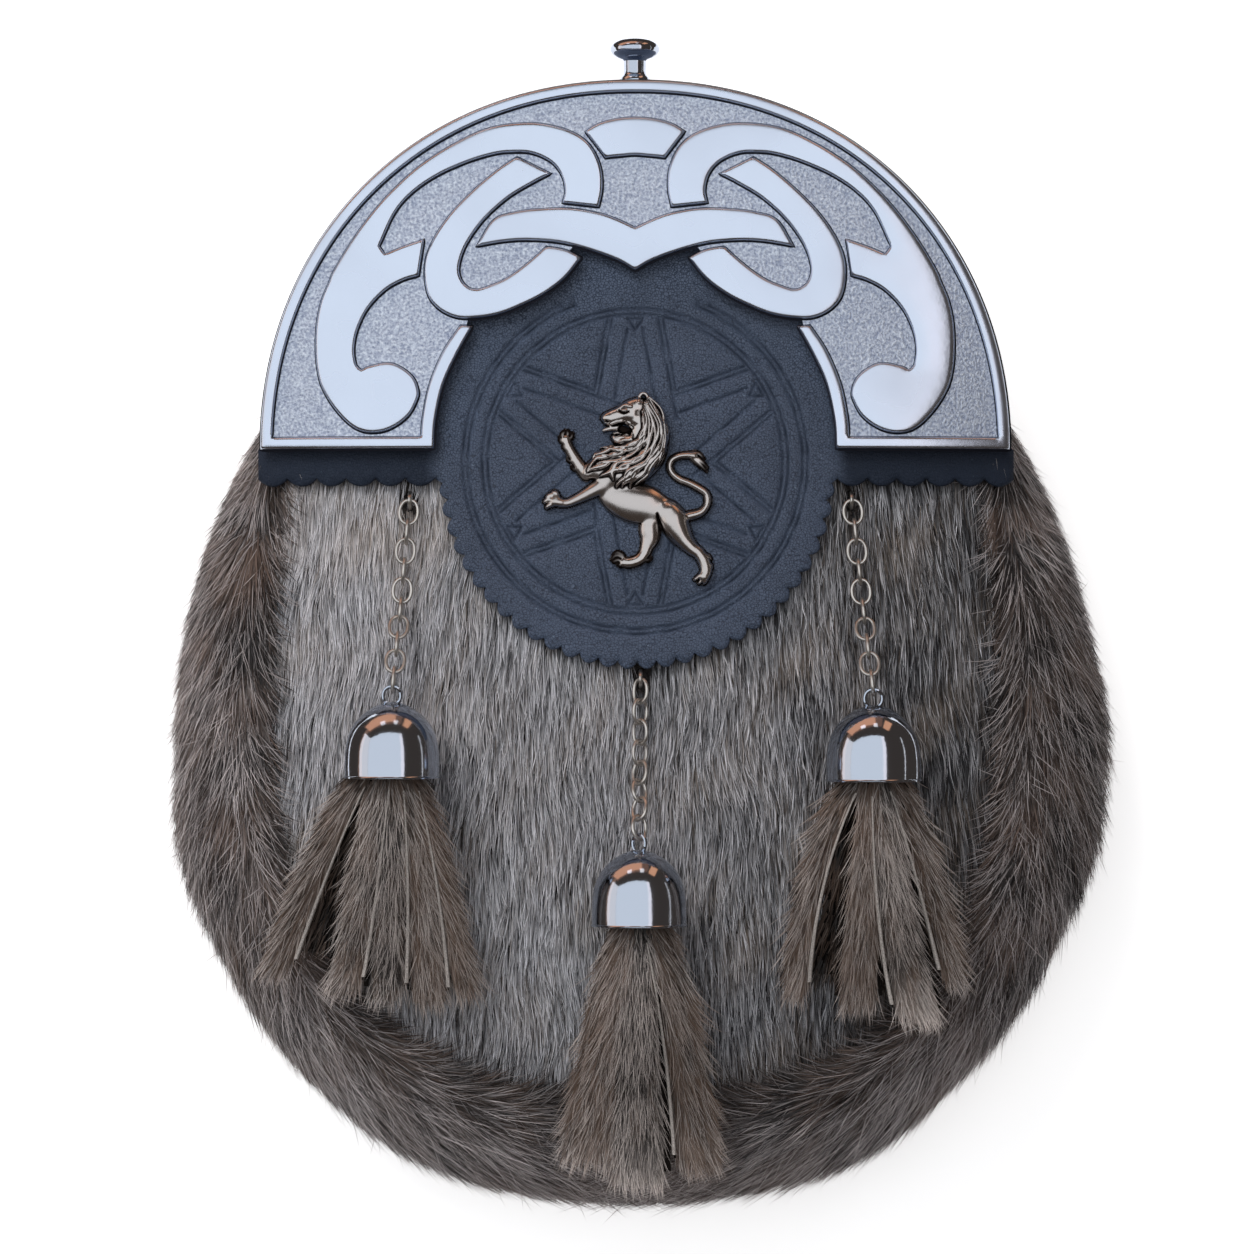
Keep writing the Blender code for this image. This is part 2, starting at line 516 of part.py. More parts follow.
def make_gusset():
    """Band lofted along the seam: a crescent section whose outer side carries staggered locks."""
    start = angle_at(GUSSET_TOP_Y)
    points, normals = seam_frame(even_angles(start, -math.pi - start, GUSSET_STATIONS))
    share = bulge_share(points[:, 1])
    lip_fade = blend(points[:, 1], *LIP_FADE)
    lip = LIP_RISE[0] + (LIP_RISE[1] - LIP_RISE[0]) * lip_fade
    section = np.array(GUSSET_OUTER + GUSSET_INNER)
    station = np.arange(GUSSET_STATIONS)[:, None]
    course = np.arange(len(section))[None, :]
    on_fur = (course > 0) & (course < len(GUSSET_OUTER) - 1)
    locks = LOCK_RELIEF * np.where((station + course) % 2, 1.0, -1.0) * on_fur * (1.0 - lip_fade)[:, None]
    out = section[:, 0] + share[:, None] * section[:, 1] + locks
    height = section[:, 2] * seam_height(points[:, 1])[:, None] + section[:, 3] * lip[:, None]
    grid = np.concatenate((points[:, None, :] + normals[:, None, :] * out[..., None], height[..., None]), 2)
    around = len(section)
    faces = []
    for i in range(GUSSET_STATIONS - 1):
        for j in range(around):
            k = (j + 1) % around
            faces.append((i * around + j, (i + 1) * around + j, (i + 1) * around + k, i * around + k))
    last = (GUSSET_STATIONS - 1) * around
    # each end is closed by quads between the outer and the inner courses
    outer, inner = len(GUSSET_OUTER), len(GUSSET_INNER)
    ladder = [(j, j + 1, around - 2 - j, around - 1 - j) for j in range(min(outer, inner) - 1)]
    ladder.append((inner - 1, outer - 1, outer))
    faces += ladder
    faces += [tuple(last + i for i in reversed(face)) for face in ladder]
    solid("gusset", grid.reshape(-1, 3), faces, LONG_FUR, FUR_SMOOTH)


def make_top_band():
    """Arch between the two panels, with a hole for the knob's stem."""
    start = angle_at(GUSSET_TOP_Y + 1.0)
    points, normals = seam_frame(even_angles(start, math.pi - start, BAND_STATIONS))
    top = seam_height(points[:, 1]) - BAND_TOP_DROP
    low = np.full(BAND_STATIONS, BACK_LEVEL)
    corners = []
    for out, height in ((BAND_GAP, low), (BAND_OUT, low), (BAND_OUT, top), (BAND_GAP, top)):
        corners.append(np.column_stack((points + normals * out, height)))
    grid = np.stack(corners, axis=1).reshape(-1, 3)
    faces = [(0, 1, 2, 3), tuple(4 * (BAND_STATIONS - 1) + i for i in (3, 2, 1, 0))]
    for i in range(BAND_STATIONS - 1):
        for j in range(4):
            k = (j + 1) % 4
            faces.append((4 * i + k, 4 * i + j, 4 * i + 4 + j, 4 * i + 4 + k))
    band = solid("top_band", grid, faces, BLACK_LEATHER)
    ends = ((-DRILL_HALF_LENGTH, KNOB_HOLE_RADIUS), (DRILL_HALF_LENGTH, KNOB_HOLE_RADIUS))
    drill = turned("stem_drill", ends, KNOB_SIDES, BLACK_LEATHER,
                   placing((CANTLE_X, BODY_Y + SEAM_UPPER + BAND_OUT, KNOB_Z), (0, 1, 0), (0, 0, 1)))
    cut_or_join(band, drill, "DIFFERENCE")


def tabard_outline():
    """Wing, disc and wing along the bottom, pinked all the way, then inside the cantle's edge."""
    disc_angle = math.degrees(math.asin((WING_TIP_Y + TOOTH_DEPTH - DISC_Y) / DISC_RADIUS))
    disc_x = DISC_RADIUS * math.cos(math.radians(disc_angle))
    loop = []
    for side in (-1, 1):
        wing = np.linspace(WING_X, disc_x + WING_TO_DISC, 2 * WING_TEETH)
        teeth = [(side * x, WING_TIP_Y + TOOTH_DEPTH * (i % 2)) for i, x in enumerate(wing)]
        if side < 0:
            loop += teeth
            turns = np.radians(np.linspace(180.0 - disc_angle, 360.0 + disc_angle, 2 * DISC_TEETH + 1))
            radii = DISC_RADIUS - TOOTH_DEPTH * (1 - np.arange(len(turns)) % 2)
            loop += [(DISC_X + r * math.cos(a), DISC_Y + r * math.sin(a)) for a, r in zip(turns, radii)]
        else:
            loop += teeth[::-1]
    arc = superellipse(CANTLE_X, CANTLE_Y, CANTLE_HALF_WIDTH - TABARD_INSET, CANTLE_RISE - TABARD_INSET,
                       CANTLE_SQUARENESS, *TABARD_ARC, TABARD_ARC_POINTS)
    return np.array(loop + [(WING_X, CANTLE_FOOT_Y)] + arc.tolist() + [(-WING_X, CANTLE_FOOT_Y)])


def make_tabard():
    relief_sheet("tabard", [[tabard_outline()]], above_front(GAP), [above_front(GAP + TABARD_THICKNESS)],
                 BLACK_LEATHER, TABARD_GRID)


# ---------------------------------------------------------------- cast and turned metal

def mirrored(rows):
    return [tuple(v if i % 2 else -v for i, v in enumerate(row)) for row in rows]


def ribbon_loops(rows, through_middle=False):
    """Outlines of a ribbon and its mirror image, or of one that runs through the middle line."""
    if through_middle:
        rows = list(rows) + mirrored(rows[:-1])[::-1]
        sides = [rows]
    else:
        sides = [rows, mirrored(rows)]
    base = np.array((CANTLE_X, RIBBON_FOOT_Y))
    return [np.array([r[:2] for r in side] + [r[2:] for r in side[::-1]]) + base for side in sides]


def cantle_arc(inset):
    return superellipse(CANTLE_X, CANTLE_Y, CANTLE_HALF_WIDTH - inset, CANTLE_RISE - inset,
                        CANTLE_SQUARENESS, *CANTLE_ARC, CANTLE_ARC_POINTS)


def make_cantle():
    """One casting: a plate over the tabard, with its rim and knotwork standing on it."""
    base = np.array((CANTLE_X, RIBBON_FOOT_Y))
    inner = np.array(list(PLATE_INNER) + mirrored(PLATE_INNER[:-1])[::-1]) + base
    corner = CANTLE_HALF_WIDTH - CANTLE_CORNER_INSET
    leg = abs(RIBBON_LEG[-1][0])
    inner[0, 1] = inner[-1, 1] = CANTLE_FOOT_Y
    # half widths and heights of the rim's foot, from the outer corner in and back out along its top
    foot = np.array(((corner, 0.0), (leg, 0.0), (leg + RIM_WIDTH, RIM_WIDTH),
                     (corner - RIM_WIDTH, RIM_WIDTH)))
    left = foot * (-1.0, 1.0) + (CANTLE_X, CANTLE_FOOT_Y)
    right = foot[::-1] + (CANTLE_X, CANTLE_FOOT_Y)
    plate = np.array([left[0], *inner, right[-1], *cantle_arc(0.0)])
    rim = np.concatenate((left, cantle_arc(RIM_WIDTH)[::-1], right, cantle_arc(0.0)))
    raised = [rim] + ribbon_loops(RIBBON_BIG_CURL) + ribbon_loops(RIBBON_LOOP) + ribbon_loops(RIBBON_LEG)
    raised += ribbon_loops(RIBBON_CHEVRON, True) + ribbon_loops(RIBBON_CROWN, True)
    under = GAP + TABARD_THICKNESS + CAST_GAP
    relief_sheet("cantle", [[plate], raised], above_front(under),
                 [above_front(under + PLATE_THICKNESS), above_front(under + PLATE_THICKNESS + RIBBON_RISE)],
                 CAST_STEEL, CANTLE_GRID)


def turned(name, profile, sides, finish, placed):
    """Turn rows of distance and radius about local X; both ends close on the axis."""
    angles = np.linspace(0.0, 2.0 * math.pi, sides, endpoint=False)
    points = [(distance, radius * math.cos(a), radius * math.sin(a)) for distance, radius in profile
              for a in angles]
    rings = len(profile)
    faces = []
    for i in range(rings - 1):
        for j in range(sides):
            k = (j + 1) % sides
            faces.append((i * sides + j, i * sides + k, (i + 1) * sides + k, (i + 1) * sides + j))
    faces.append(tuple(reversed(range(sides))))
    faces.append(tuple((rings - 1) * sides + j for j in range(sides)))
    return solid(name, points, faces, finish, TURNED_SMOOTH, placed)


def make_knob():
    seat = BODY_Y + SEAM_UPPER + BAND_OUT + GAP
    turned("clasp_knob", KNOB_PROFILE, KNOB_SIDES, DARK_CHROME,
           placing((CANTLE_X, seat, KNOB_Z), (0, 1, 0), (0, 0, 1)))


def make_lion():
    limbs = [np.array(rows) + (LION_X, LION_Y, 0.0) for rows in LION_LIMBS]
    under = GAP + TABARD_THICKNESS + GAP

    def top(x, y):
        return front_height(x, y) + under + LION_BACKING + LION_DOME * limb_dome(x, y, limbs)

    middles = np.concatenate([rows[:, :2] for rows in limbs])
    relief_sheet("lion_badge", [[stroke(rows) for rows in limbs]], above_front(under), [top], AGED_SILVER,
                 LION_GRID, extra=middles)


# ---------------------------------------------------------------- chains, bells and tassels

def ring_mesh(length, width, wire):
    """Oval wire ring in the local XY plane, its length along X."""
    points, faces = [], []
    for i in range(LINK_SECTIONS):
        a = 2.0 * math.pi * i / LINK_SECTIONS
        centre = Vector(((length - wire) / 2 * math.cos(a), (width - wire) / 2 * math.sin(a), 0.0))
        outward = Vector(((width - wire) * math.cos(a), (length - wire) * math.sin(a), 0.0)).normalized()
        for j in range(WIRE_SIDES):
            b = 2.0 * math.pi * j / WIRE_SIDES
            points.append(centre + wire / 2 * (math.cos(b) * outward + math.sin(b) * Vector((0, 0, 1))))
    for i in range(LINK_SECTIONS):
        for j in range(WIRE_SIDES):
            k, m = (j + 1) % WIRE_SIDES, (i + 1) % LINK_SECTIONS
            faces.append((i * WIRE_SIDES + j, m * WIRE_SIDES + j, m * WIRE_SIDES + k, i * WIRE_SIDES + k))
    return [tuple(p) for p in points], faces


def bell_axis(mouth):
    """Height of a bell's axis: a fixed lift over the hide under its middle."""
    return float(front_height(mouth[0], mouth[1] + BELL_HEIGHT / 2)) + BELL_LIFT


def chain_path(hole, mouth, count=400):
    """Middle line of a chain from its hole to the bell's eye, close to the hide and then rising."""
    eye = (mouth[0], mouth[1] + BELL_HEIGHT + EYE_RADIUS - EYE_SINK)
    t = np.linspace(0.0, 1.0, count)
    x = hole[0] + t * (eye[0] - hole[0])
    y = hole[1] + t * (eye[1] - hole[1])
    settle = LINK_LIFT[0] + (LINK_LIFT[1] - LINK_LIFT[0]) * blend(t, 0.0, LINK_SETTLED)
    resting = front_height(x, y) + settle
    z = resting + blend(t, CHAIN_RISES, 1.0) * (bell_axis(mouth) - resting)
    return np.column_stack((x, y, z))


def link_places(hole, mouth, links):
    """Centres and headings of a chain's links, evenly spread so that each hooks the next."""
    path = chain_path(hole, mouth)
    run = np.concatenate(([0.0], np.cumsum(np.linalg.norm(np.diff(path, axis=0), axis=1))))
    reach = (LINK_LENGTH - LINK_WIRE) / 2
    at = np.linspace(reach, run[-1] - EYE_SLACK - reach, links)
    places = []
    for distance in at:
        centre, before, after = ([float(np.interp(distance + d, run, path[:, k])) for k in range(3)]
                                 for d in (0.0, -reach, reach))
        places.append((centre, Vector(after) - Vector(before)))
    return places


def rolled(heading, degrees):
    """Upward direction turned about a heading: the way that a link's face looks."""
    return Matrix.Rotation(math.radians(degrees), 3, Vector(heading).normalized()) @ Vector((0, 0, 1))


def make_chain(side, hole, mouth, links, first_roll):
    points, faces = ring_mesh(LINK_LENGTH, LINK_WIDTH, LINK_WIRE)
    for number, (centre, heading) in enumerate(link_places(hole, mouth, links), 1):
        face = rolled(heading, first_roll + 90.0 * (number - 1))
        solid(f"chain_{side}_link_{number:02d}", points, faces, PEWTER_WIRE, WIRE_SMOOTH,
              placing(centre, heading, face))


def make_anchor(side, hole):
    """Upright eye in the hide's hole, on a toggle bar that lies behind the hide."""
    surface = float(front_height(*hole))
    points, faces = ring_mesh(ANCHOR_LENGTH, ANCHOR_WIDTH, LINK_WIRE)
    middle = (hole[0], hole[1], surface - ANCHOR_SINK)
    eye = solid(f"anchor_{side}", points, faces, PEWTER_WIRE, WIRE_SMOOTH,
                placing(middle, (0, 0, 1), (1, 0, 0)))
    bar_z = surface - HIDE_THICKNESS - 2 * GAP - TOGGLE_RADIUS
    half = TOGGLE_LENGTH / 2
    bar = turned("toggle", ((-half, TOGGLE_RADIUS), (half, TOGGLE_RADIUS)), TOGGLE_SIDES, PEWTER_WIRE,
                 placing((hole[0], hole[1], bar_z), (0, 1, 0), (0, 0, 1)))
    cut_or_join(eye, bar, "UNION")


def make_bell(side, mouth, eye_roll):
    """Hollow bullet dome, mouth towards -Y, with a wire eye set in its crown."""
    height = bell_axis(mouth)
    outer = [*BELL_PROFILE, (BELL_HEIGHT, BELL_TIP_RADIUS)]
    inner = [(max(d - BELL_ROOF_DROP, 0.0), r - BELL_WALL) for d, r in BELL_PROFILE]
    inner = inner[:1] + inner[2:] + [(BELL_HEIGHT - BELL_WALL, BELL_TIP_RADIUS)]
    bell = turned(f"bell_{side}", inner[::-1] + outer, BELL_SIDES, DARK_CHROME,
                  placing((mouth[0], mouth[1], height), (0, 1, 0), (0, 0, 1)))
    points, faces = ring_mesh(2 * EYE_RADIUS + LINK_WIRE, 2 * EYE_RADIUS + LINK_WIRE, LINK_WIRE)
    eye_y = mouth[1] + BELL_HEIGHT + EYE_RADIUS - EYE_SINK
    eye = solid("eye", points, faces, DARK_CHROME, WIRE_SMOOTH,
                placing((mouth[0], eye_y, height), (0, -1, 0), rolled((0, -1, 0), eye_roll)))
    cut_or_join(bell, eye, "UNION")


def make_tassel(side, mouth):
    """Head in the bell and strips that fan from it, as one body that settles onto the hide."""
    axis = bell_axis(mouth)
    longest = max(down for _, down, _ in TASSEL_STRIPS[side])
    widest = max(abs(across) + half for across, _, half in TASSEL_STRIPS[side])
    start = TASSEL_HEAD_RADIUS - TASSEL_NECK
    strips = []
    for across, down, half in TASSEL_STRIPS[side]:
        first_x = start * across / widest
        strips.append(np.array(((first_x, STRIP_INSIDE, TASSEL_NECK),
                                ((across + first_x) / 2, -down / 2, half * STRIP_MIDDLE_WIDTH),
                                (across, half - down, half))) + (*mouth, 0.0))
    head_x = TASSEL_HEAD_RADIUS - TASSEL_HEAD_GAP
    shoulder_x, shoulder_y = head_x - TASSEL_HEAD_CHAMFER[0], TASSEL_HEAD_DEPTH - TASSEL_HEAD_CHAMFER[1]
    head = np.array(((-head_x, -TASSEL_HEAD_FOOT), (head_x, -TASSEL_HEAD_FOOT), (head_x, shoulder_y),
                     (shoulder_x, TASSEL_HEAD_DEPTH), (-shoulder_x, TASSEL_HEAD_DEPTH),
                     (-head_x, shoulder_y))) + mouth

    def shape(x, y):
        along = np.maximum(mouth[1] - y, 0.0) / longest
        settle = blend(along, 0.0, 1.0)
        half_width = TASSEL_HEAD_RADIUS + (widest - TASSEL_HEAD_RADIUS) * along
        round_off = np.sqrt(np.clip(1.0 - ((x - mouth[0]) / half_width) ** 2, TASSEL_EDGE_SHARE, 1.0))
        half = (TASSEL_HEAD_RADIUS + (TASSEL_TIP_THICKNESS / 2 - TASSEL_HEAD_RADIUS) * settle) * round_off
        rest = np.maximum(front_height(x, y), TASSEL_REST_LEVEL) + GAP + TASSEL_TIP_THICKNESS / 2
        return axis + (rest - axis) * settle, half

    def lower(x, y):
        middle, half = shape(x, y)
        return middle - half

    def upper(x, y):
        middle, half = shape(x, y)
        crown = limb_dome(x, y, strips) / max(row[2] for rows in strips for row in rows)
        return middle + half * (1.0 - STRIP_CROWN + STRIP_CROWN * np.clip(crown, 0.0, 1.0))

    middles = np.concatenate([rows[1:, :2] for rows in strips])
    relief_sheet(f"tassel_{side}", [[head] + [stroke(rows, 1) for rows in strips]], lower, [upper], LONG_FUR,
                 TASSEL_GRID, extra=middles)


def main():
    clear_scene()
    make_back_panel()
    make_belt_loops()
    make_front_panel()
    make_gusset()
    make_top_band()
    make_tabard()
    make_cantle()
    make_knob()
    make_lion()
    for side, (hole, mouth, links, first_roll) in CHAINS.items():
        make_anchor(side, hole)
        make_chain(side, hole, mouth, links, first_roll)
        make_bell(side, mouth, first_roll + 90.0 * links)
        make_tassel(side, mouth)


main()
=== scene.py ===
# %% [markdown]
# # A full-dress sporran pouch
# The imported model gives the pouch's solids at their real size.  This script dresses them: fur that is
# made of single hairs, grained and tooled leather, a cast steel cantle with knotwork, a small cast
# lion, and bright chains and bells.  Every piece is a surface worked out with numpy, in millimetres
# from the pouch's middle line, and goes into the scene in metres.

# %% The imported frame
import json
import math
from collections import namedtuple

import bpy
import numpy as np
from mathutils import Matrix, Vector
from mathutils.geometry import delaunay_2d_cdt

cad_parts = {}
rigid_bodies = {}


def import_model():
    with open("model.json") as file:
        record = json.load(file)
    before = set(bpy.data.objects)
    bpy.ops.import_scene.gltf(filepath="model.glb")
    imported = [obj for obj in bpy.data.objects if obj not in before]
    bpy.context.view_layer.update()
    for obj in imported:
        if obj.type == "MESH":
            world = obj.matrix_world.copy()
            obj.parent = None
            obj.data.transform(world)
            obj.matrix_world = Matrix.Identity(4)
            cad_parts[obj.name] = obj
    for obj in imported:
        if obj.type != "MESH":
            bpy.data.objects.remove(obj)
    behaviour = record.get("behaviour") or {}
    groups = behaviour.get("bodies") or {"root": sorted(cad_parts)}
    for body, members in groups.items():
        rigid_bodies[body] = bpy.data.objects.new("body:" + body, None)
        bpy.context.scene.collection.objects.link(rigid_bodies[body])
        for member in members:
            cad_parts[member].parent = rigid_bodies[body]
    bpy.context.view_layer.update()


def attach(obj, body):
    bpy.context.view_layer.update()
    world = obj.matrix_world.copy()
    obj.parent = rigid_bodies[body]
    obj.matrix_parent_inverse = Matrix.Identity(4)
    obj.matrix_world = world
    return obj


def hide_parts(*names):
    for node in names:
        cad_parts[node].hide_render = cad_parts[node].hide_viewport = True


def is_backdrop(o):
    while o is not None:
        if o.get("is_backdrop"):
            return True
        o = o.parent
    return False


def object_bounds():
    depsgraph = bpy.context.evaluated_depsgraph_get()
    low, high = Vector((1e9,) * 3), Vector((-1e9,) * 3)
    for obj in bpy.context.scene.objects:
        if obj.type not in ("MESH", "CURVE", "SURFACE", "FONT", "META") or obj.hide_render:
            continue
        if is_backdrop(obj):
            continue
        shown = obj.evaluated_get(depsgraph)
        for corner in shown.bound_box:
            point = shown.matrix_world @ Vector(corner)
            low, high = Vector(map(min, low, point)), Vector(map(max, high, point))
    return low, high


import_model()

MM = 0.001
DATUM_SHIFT = np.array((0.1, 0.5, 0.0))     # from the drawing's datum to the origin, in millimetres

# %% [markdown]
# ## Helpers for surfaces
# Most pieces are a grid of two parameters.  Its quads come from the order of its points, so the same
# few lines serve fur, metal and leather.  A closed sheet is a top grid and a bottom grid with a strip
# of quads between their rims.

# %% Grids and pieces


def grid_faces(rows, columns, wrap_rows=False, wrap_columns=False):
    """Quads of a grid whose normal is the row direction crossed with the column direction."""
    index = np.arange(rows * columns).reshape(rows, columns)
    if wrap_rows:
        index = np.vstack((index, index[:1]))
    if wrap_columns:
        index = np.hstack((index, index[:, :1]))
    return np.stack((index[:-1, :-1], index[1:, :-1], index[1:, 1:], index[:-1, 1:]), -1).reshape(-1, 4)


def capped(rows, columns):
    """Faces of a closed tube: its quads, and one flat face over each end."""
    faces = grid_faces(rows, columns, wrap_columns=True).tolist()
    return faces + [list(range(columns)), [(rows - 1) * columns + i for i in reversed(range(columns))]]


def slab(top, bottom):
    """Closed sheet from two grids (rows, columns, 3) of the same size."""
    rows, columns = top.shape[:2]
    count = rows * columns
    index = np.arange(count).reshape(rows, columns)
    rim = np.concatenate((index[:-1, 0], index[-1, :-1], index[:0:-1, -1], index[0, :0:-1]))
    after = np.roll(rim, -1)
    walls = np.column_stack((rim + count, after + count, after, rim))
    faces = grid_faces(rows, columns)
    points = np.concatenate((top.reshape(-1, 3), bottom.reshape(-1, 3)))
    return points, np.concatenate((faces, faces[:, ::-1] + count, walls))


def placed(name, data):
    """New object in the scene, at its origin."""
    made = bpy.data.objects.new(name, data)
    bpy.context.scene.collection.objects.link(made)
    return made


def piece(name, points, faces, material, slot, replaces=(), sharp=180.0):
    """Object at the origin from points in millimetres; edges sharper than an angle stay hard."""
    mesh = bpy.data.meshes.new(name)
    mesh.from_pydata(((np.asarray(points) + DATUM_SHIFT) * MM).tolist(), [], list(map(list, faces)))
    mesh.shade_smooth()
    if sharp < 180.0:
        mesh.set_sharp_from_angle(angle=math.radians(sharp))
    mesh.materials.append(material)
    made = placed(name, mesh)
    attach(made, "root")
    if replaces:
        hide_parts(*replaces)
    print(f"{name}: {len(mesh.vertices)} points, {len(mesh.polygons)} faces")
    return made


def point_value(made, name, values):
    """Store one number for each point, for a material to read."""
    stored = made.data.attributes.new(name, "FLOAT", "POINT")
    stored.data.foreach_set("value", np.ravel(values).astype(np.float32))


def unit(vectors):
    """Vectors of length 1 along the last axis."""
    return vectors / np.maximum(np.linalg.norm(vectors, axis=-1, keepdims=True), 1e-9)


def circle(count):
    """Cosines and sines of evenly spaced turns."""
    turn = np.linspace(0.0, 2.0 * np.pi, count, endpoint=False)
    return np.cos(turn), np.sin(turn)


def run_length(path):
    """Distance along a path at each of its points."""
    return np.concatenate(([0.0], np.cumsum(np.linalg.norm(np.diff(path, axis=0), axis=1))))


def catmull(rows, steps):
    """Smooth curve through rows: between two rows, a cubic whose ends follow the chords next to them."""
    rows = np.asarray(rows, float)
    before = np.vstack((2 * rows[0] - rows[1], rows[:-1]))[:-1]
    after = np.vstack((rows[1:], 2 * rows[-1] - rows[-2]))[1:]
    a, b = rows[:-1], rows[1:]
    t = (np.arange(steps) / steps)[None, :, None]
    a, b, before, after = (v[:, None, :] for v in (a, b, before, after))
    curve = 0.5 * (2 * a + (b - before) * t + (2 * before - 5 * a + 4 * b - after) * t ** 2
                   + (3 * a - before - 3 * b + after) * t ** 3)
    return np.vstack((curve.reshape(-1, rows.shape[1]), rows[-1]))


def ease(value, start, end):
    """Smooth step from 0 at start to 1 at end: 3t^2 - 2t^3."""
    t = np.clip((np.asarray(value, float) - start) / (end - start), 0.0, 1.0)
    return t * t * (3.0 - 2.0 * t)


def waves(x, y, seed, count=7):
    """Soft random field of about -1 to 1: plane waves of about one unit's length in random directions."""
    draw = np.random.default_rng(seed)
    turn, phase = draw.uniform(0, 2 * np.pi, (2, count))
    rate = 2 * np.pi * draw.uniform(0.6, 1.5, count)
    total = sum(np.cos(r * (np.cos(t) * x + np.sin(t) * y) + p) for r, t, p in zip(rate, turn, phase))
    return total / math.sqrt(count)


# %% [markdown]
# ## The pouch's form
# The front is one soft crown inside an egg-shaped seam.  The seam is two half superellipses, which
# share the widest line, and the crown falls off with the cube of the distance ratio.  Everything that
# lies on the pouch starts from this height.

# %% Seam and front

SEAM_HALF_WIDTH, SEAM_LOWER, SEAM_UPPER = 74.0, 73.0, 128.0     # half width, reach below and above BODY_Y
BODY_Y = -23.7                  # the widest line
LOWER_POWER, UPPER_POWER = 2.3, 2.6
FORM_Y = (-20.0, 60.0)          # where the heights below change from their first value to their second
SEAM_HEIGHT = (34.0, 37.0)
CROWN_HEIGHT = (12.0, 6.0)
BACK_LEVEL = 6.6                # underside of the back panel


def between(pair, y):
    """The pair's first value at the bottom of the pouch and its second at the top."""
    return pair[0] + (pair[1] - pair[0]) * ease(y, *FORM_Y)


def seam_ratio(x, y):
    """0 in the middle and 1 on the seam: the superellipse's own radius."""
    rise = np.asarray(y, float) - BODY_Y
    power = np.where(rise > 0, UPPER_POWER, LOWER_POWER)
    height = np.where(rise > 0, SEAM_UPPER, SEAM_LOWER)
    return (np.abs(x / SEAM_HALF_WIDTH) ** power + np.abs(rise / height) ** power) ** (1.0 / power)


def front(x, y):
    """Top of the hide over a point."""
    return between(SEAM_HEIGHT, y) + between(CROWN_HEIGHT, y) * (1.0 - seam_ratio(x, y) ** 3)


def on_front(plan, lift):
    """Points in space over points of the plan."""
    plan = np.asarray(plan, float)
    return np.column_stack((plan, front(plan[:, 0], plan[:, 1]) + lift))


def seam_frame(angles):
    """Points of the seam and its outward normals, at superellipse angles."""
    c, s = np.cos(angles), np.sin(angles)
    power = np.where(s > 0, UPPER_POWER, LOWER_POWER)
    height = np.where(s > 0, SEAM_UPPER, SEAM_LOWER)
    u = np.sign(c) * np.abs(c) ** (2.0 / power)
    v = np.sign(s) * np.abs(s) ** (2.0 / power)
    nx = np.sign(c) * np.abs(u) ** (power - 1.0) / SEAM_HALF_WIDTH
    ny = np.sign(s) * np.abs(v) ** (power - 1.0) / height
    return np.stack((SEAM_HALF_WIDTH * u, BODY_Y + height * v), -1), unit(np.stack((nx, ny), -1))


def even_angles(first, last, count):
    """Superellipse angles whose points lie evenly along the seam."""
    dense = np.linspace(first, last, 4000)
    run = run_length(seam_frame(dense)[0])
    return np.interp(np.linspace(0.0, run[-1], count), run, dense)


def angle_at(y):
    """Superellipse angle of the right-hand seam point at a height above the middle of the body."""
    return math.asin(((y - BODY_Y) / SEAM_UPPER) ** (UPPER_POWER / 2.0))


print("front over the middle of the body:", round(float(front(0.0, BODY_Y)), 1), "mm")

# %% [markdown]
# ## Filling an outline
# Leather cut with a pinking wheel and cast ribbons have outlines that no plain grid follows.  Here the
# outline and loose points inside it are joined by a Delaunay triangulation, and the height is a
# function of the place and of the distance to the outline, which gives a ribbon its soft shoulder.

# %% Outlines


def run_distance(points, starts, ends):
    """Shortest distance from each point to any of a set of straight runs."""
    out = np.empty(len(points))
    run = ends - starts
    square = np.maximum((run * run).sum(1), 1e-9)
    for first in range(0, len(points), 4000):
        offset = points[first:first + 4000, None, :] - starts
        t = np.clip((offset * run).sum(2) / square, 0.0, 1.0)
        out[first:first + 4000] = np.sqrt(((offset - t[..., None] * run) ** 2).sum(2).min(1))
    return out


def rim_distance(points, outline):
    """Distance from each point to a closed outline."""
    return run_distance(points, outline, np.roll(outline, -1, axis=0))


def inside(points, outline):
    """Which points a closed outline winds round."""
    a, b = outline, np.roll(outline, -1, axis=0)
    found = np.empty(len(points), bool)
    for first in range(0, len(points), 4000):
        x, y = points[first:first + 4000, 0, None], points[first:first + 4000, 1, None]
        side = (b[:, 0] - a[:, 0]) * (y - a[:, 1]) - (x - a[:, 0]) * (b[:, 1] - a[:, 1])
        up = (a[:, 1] <= y) & (b[:, 1] > y) & (side > 0)
        down = (a[:, 1] > y) & (b[:, 1] <= y) & (side < 0)
        found[first:first + 4000] = up.sum(1) != down.sum(1)
    return found


def winding(outline):
    """1 for an outline that runs anticlockwise and -1 for one that runs clockwise."""
    x, y = outline.T
    return math.copysign(1.0, float(np.sum(x * np.roll(y, -1) - np.roll(x, -1) * y)))


def outward(outline, run=None):
    """Directions out of a closed outline, square to the run between each point's neighbours."""
    if run is None:
        run = np.roll(outline, -1, axis=0) - np.roll(outline, 1, axis=0)
    return winding(outline) * unit(np.stack((run[:, 1], -run[:, 0]), 1))


BULGE = 0.004                   # outward swell of every run, so that no three points are in one line


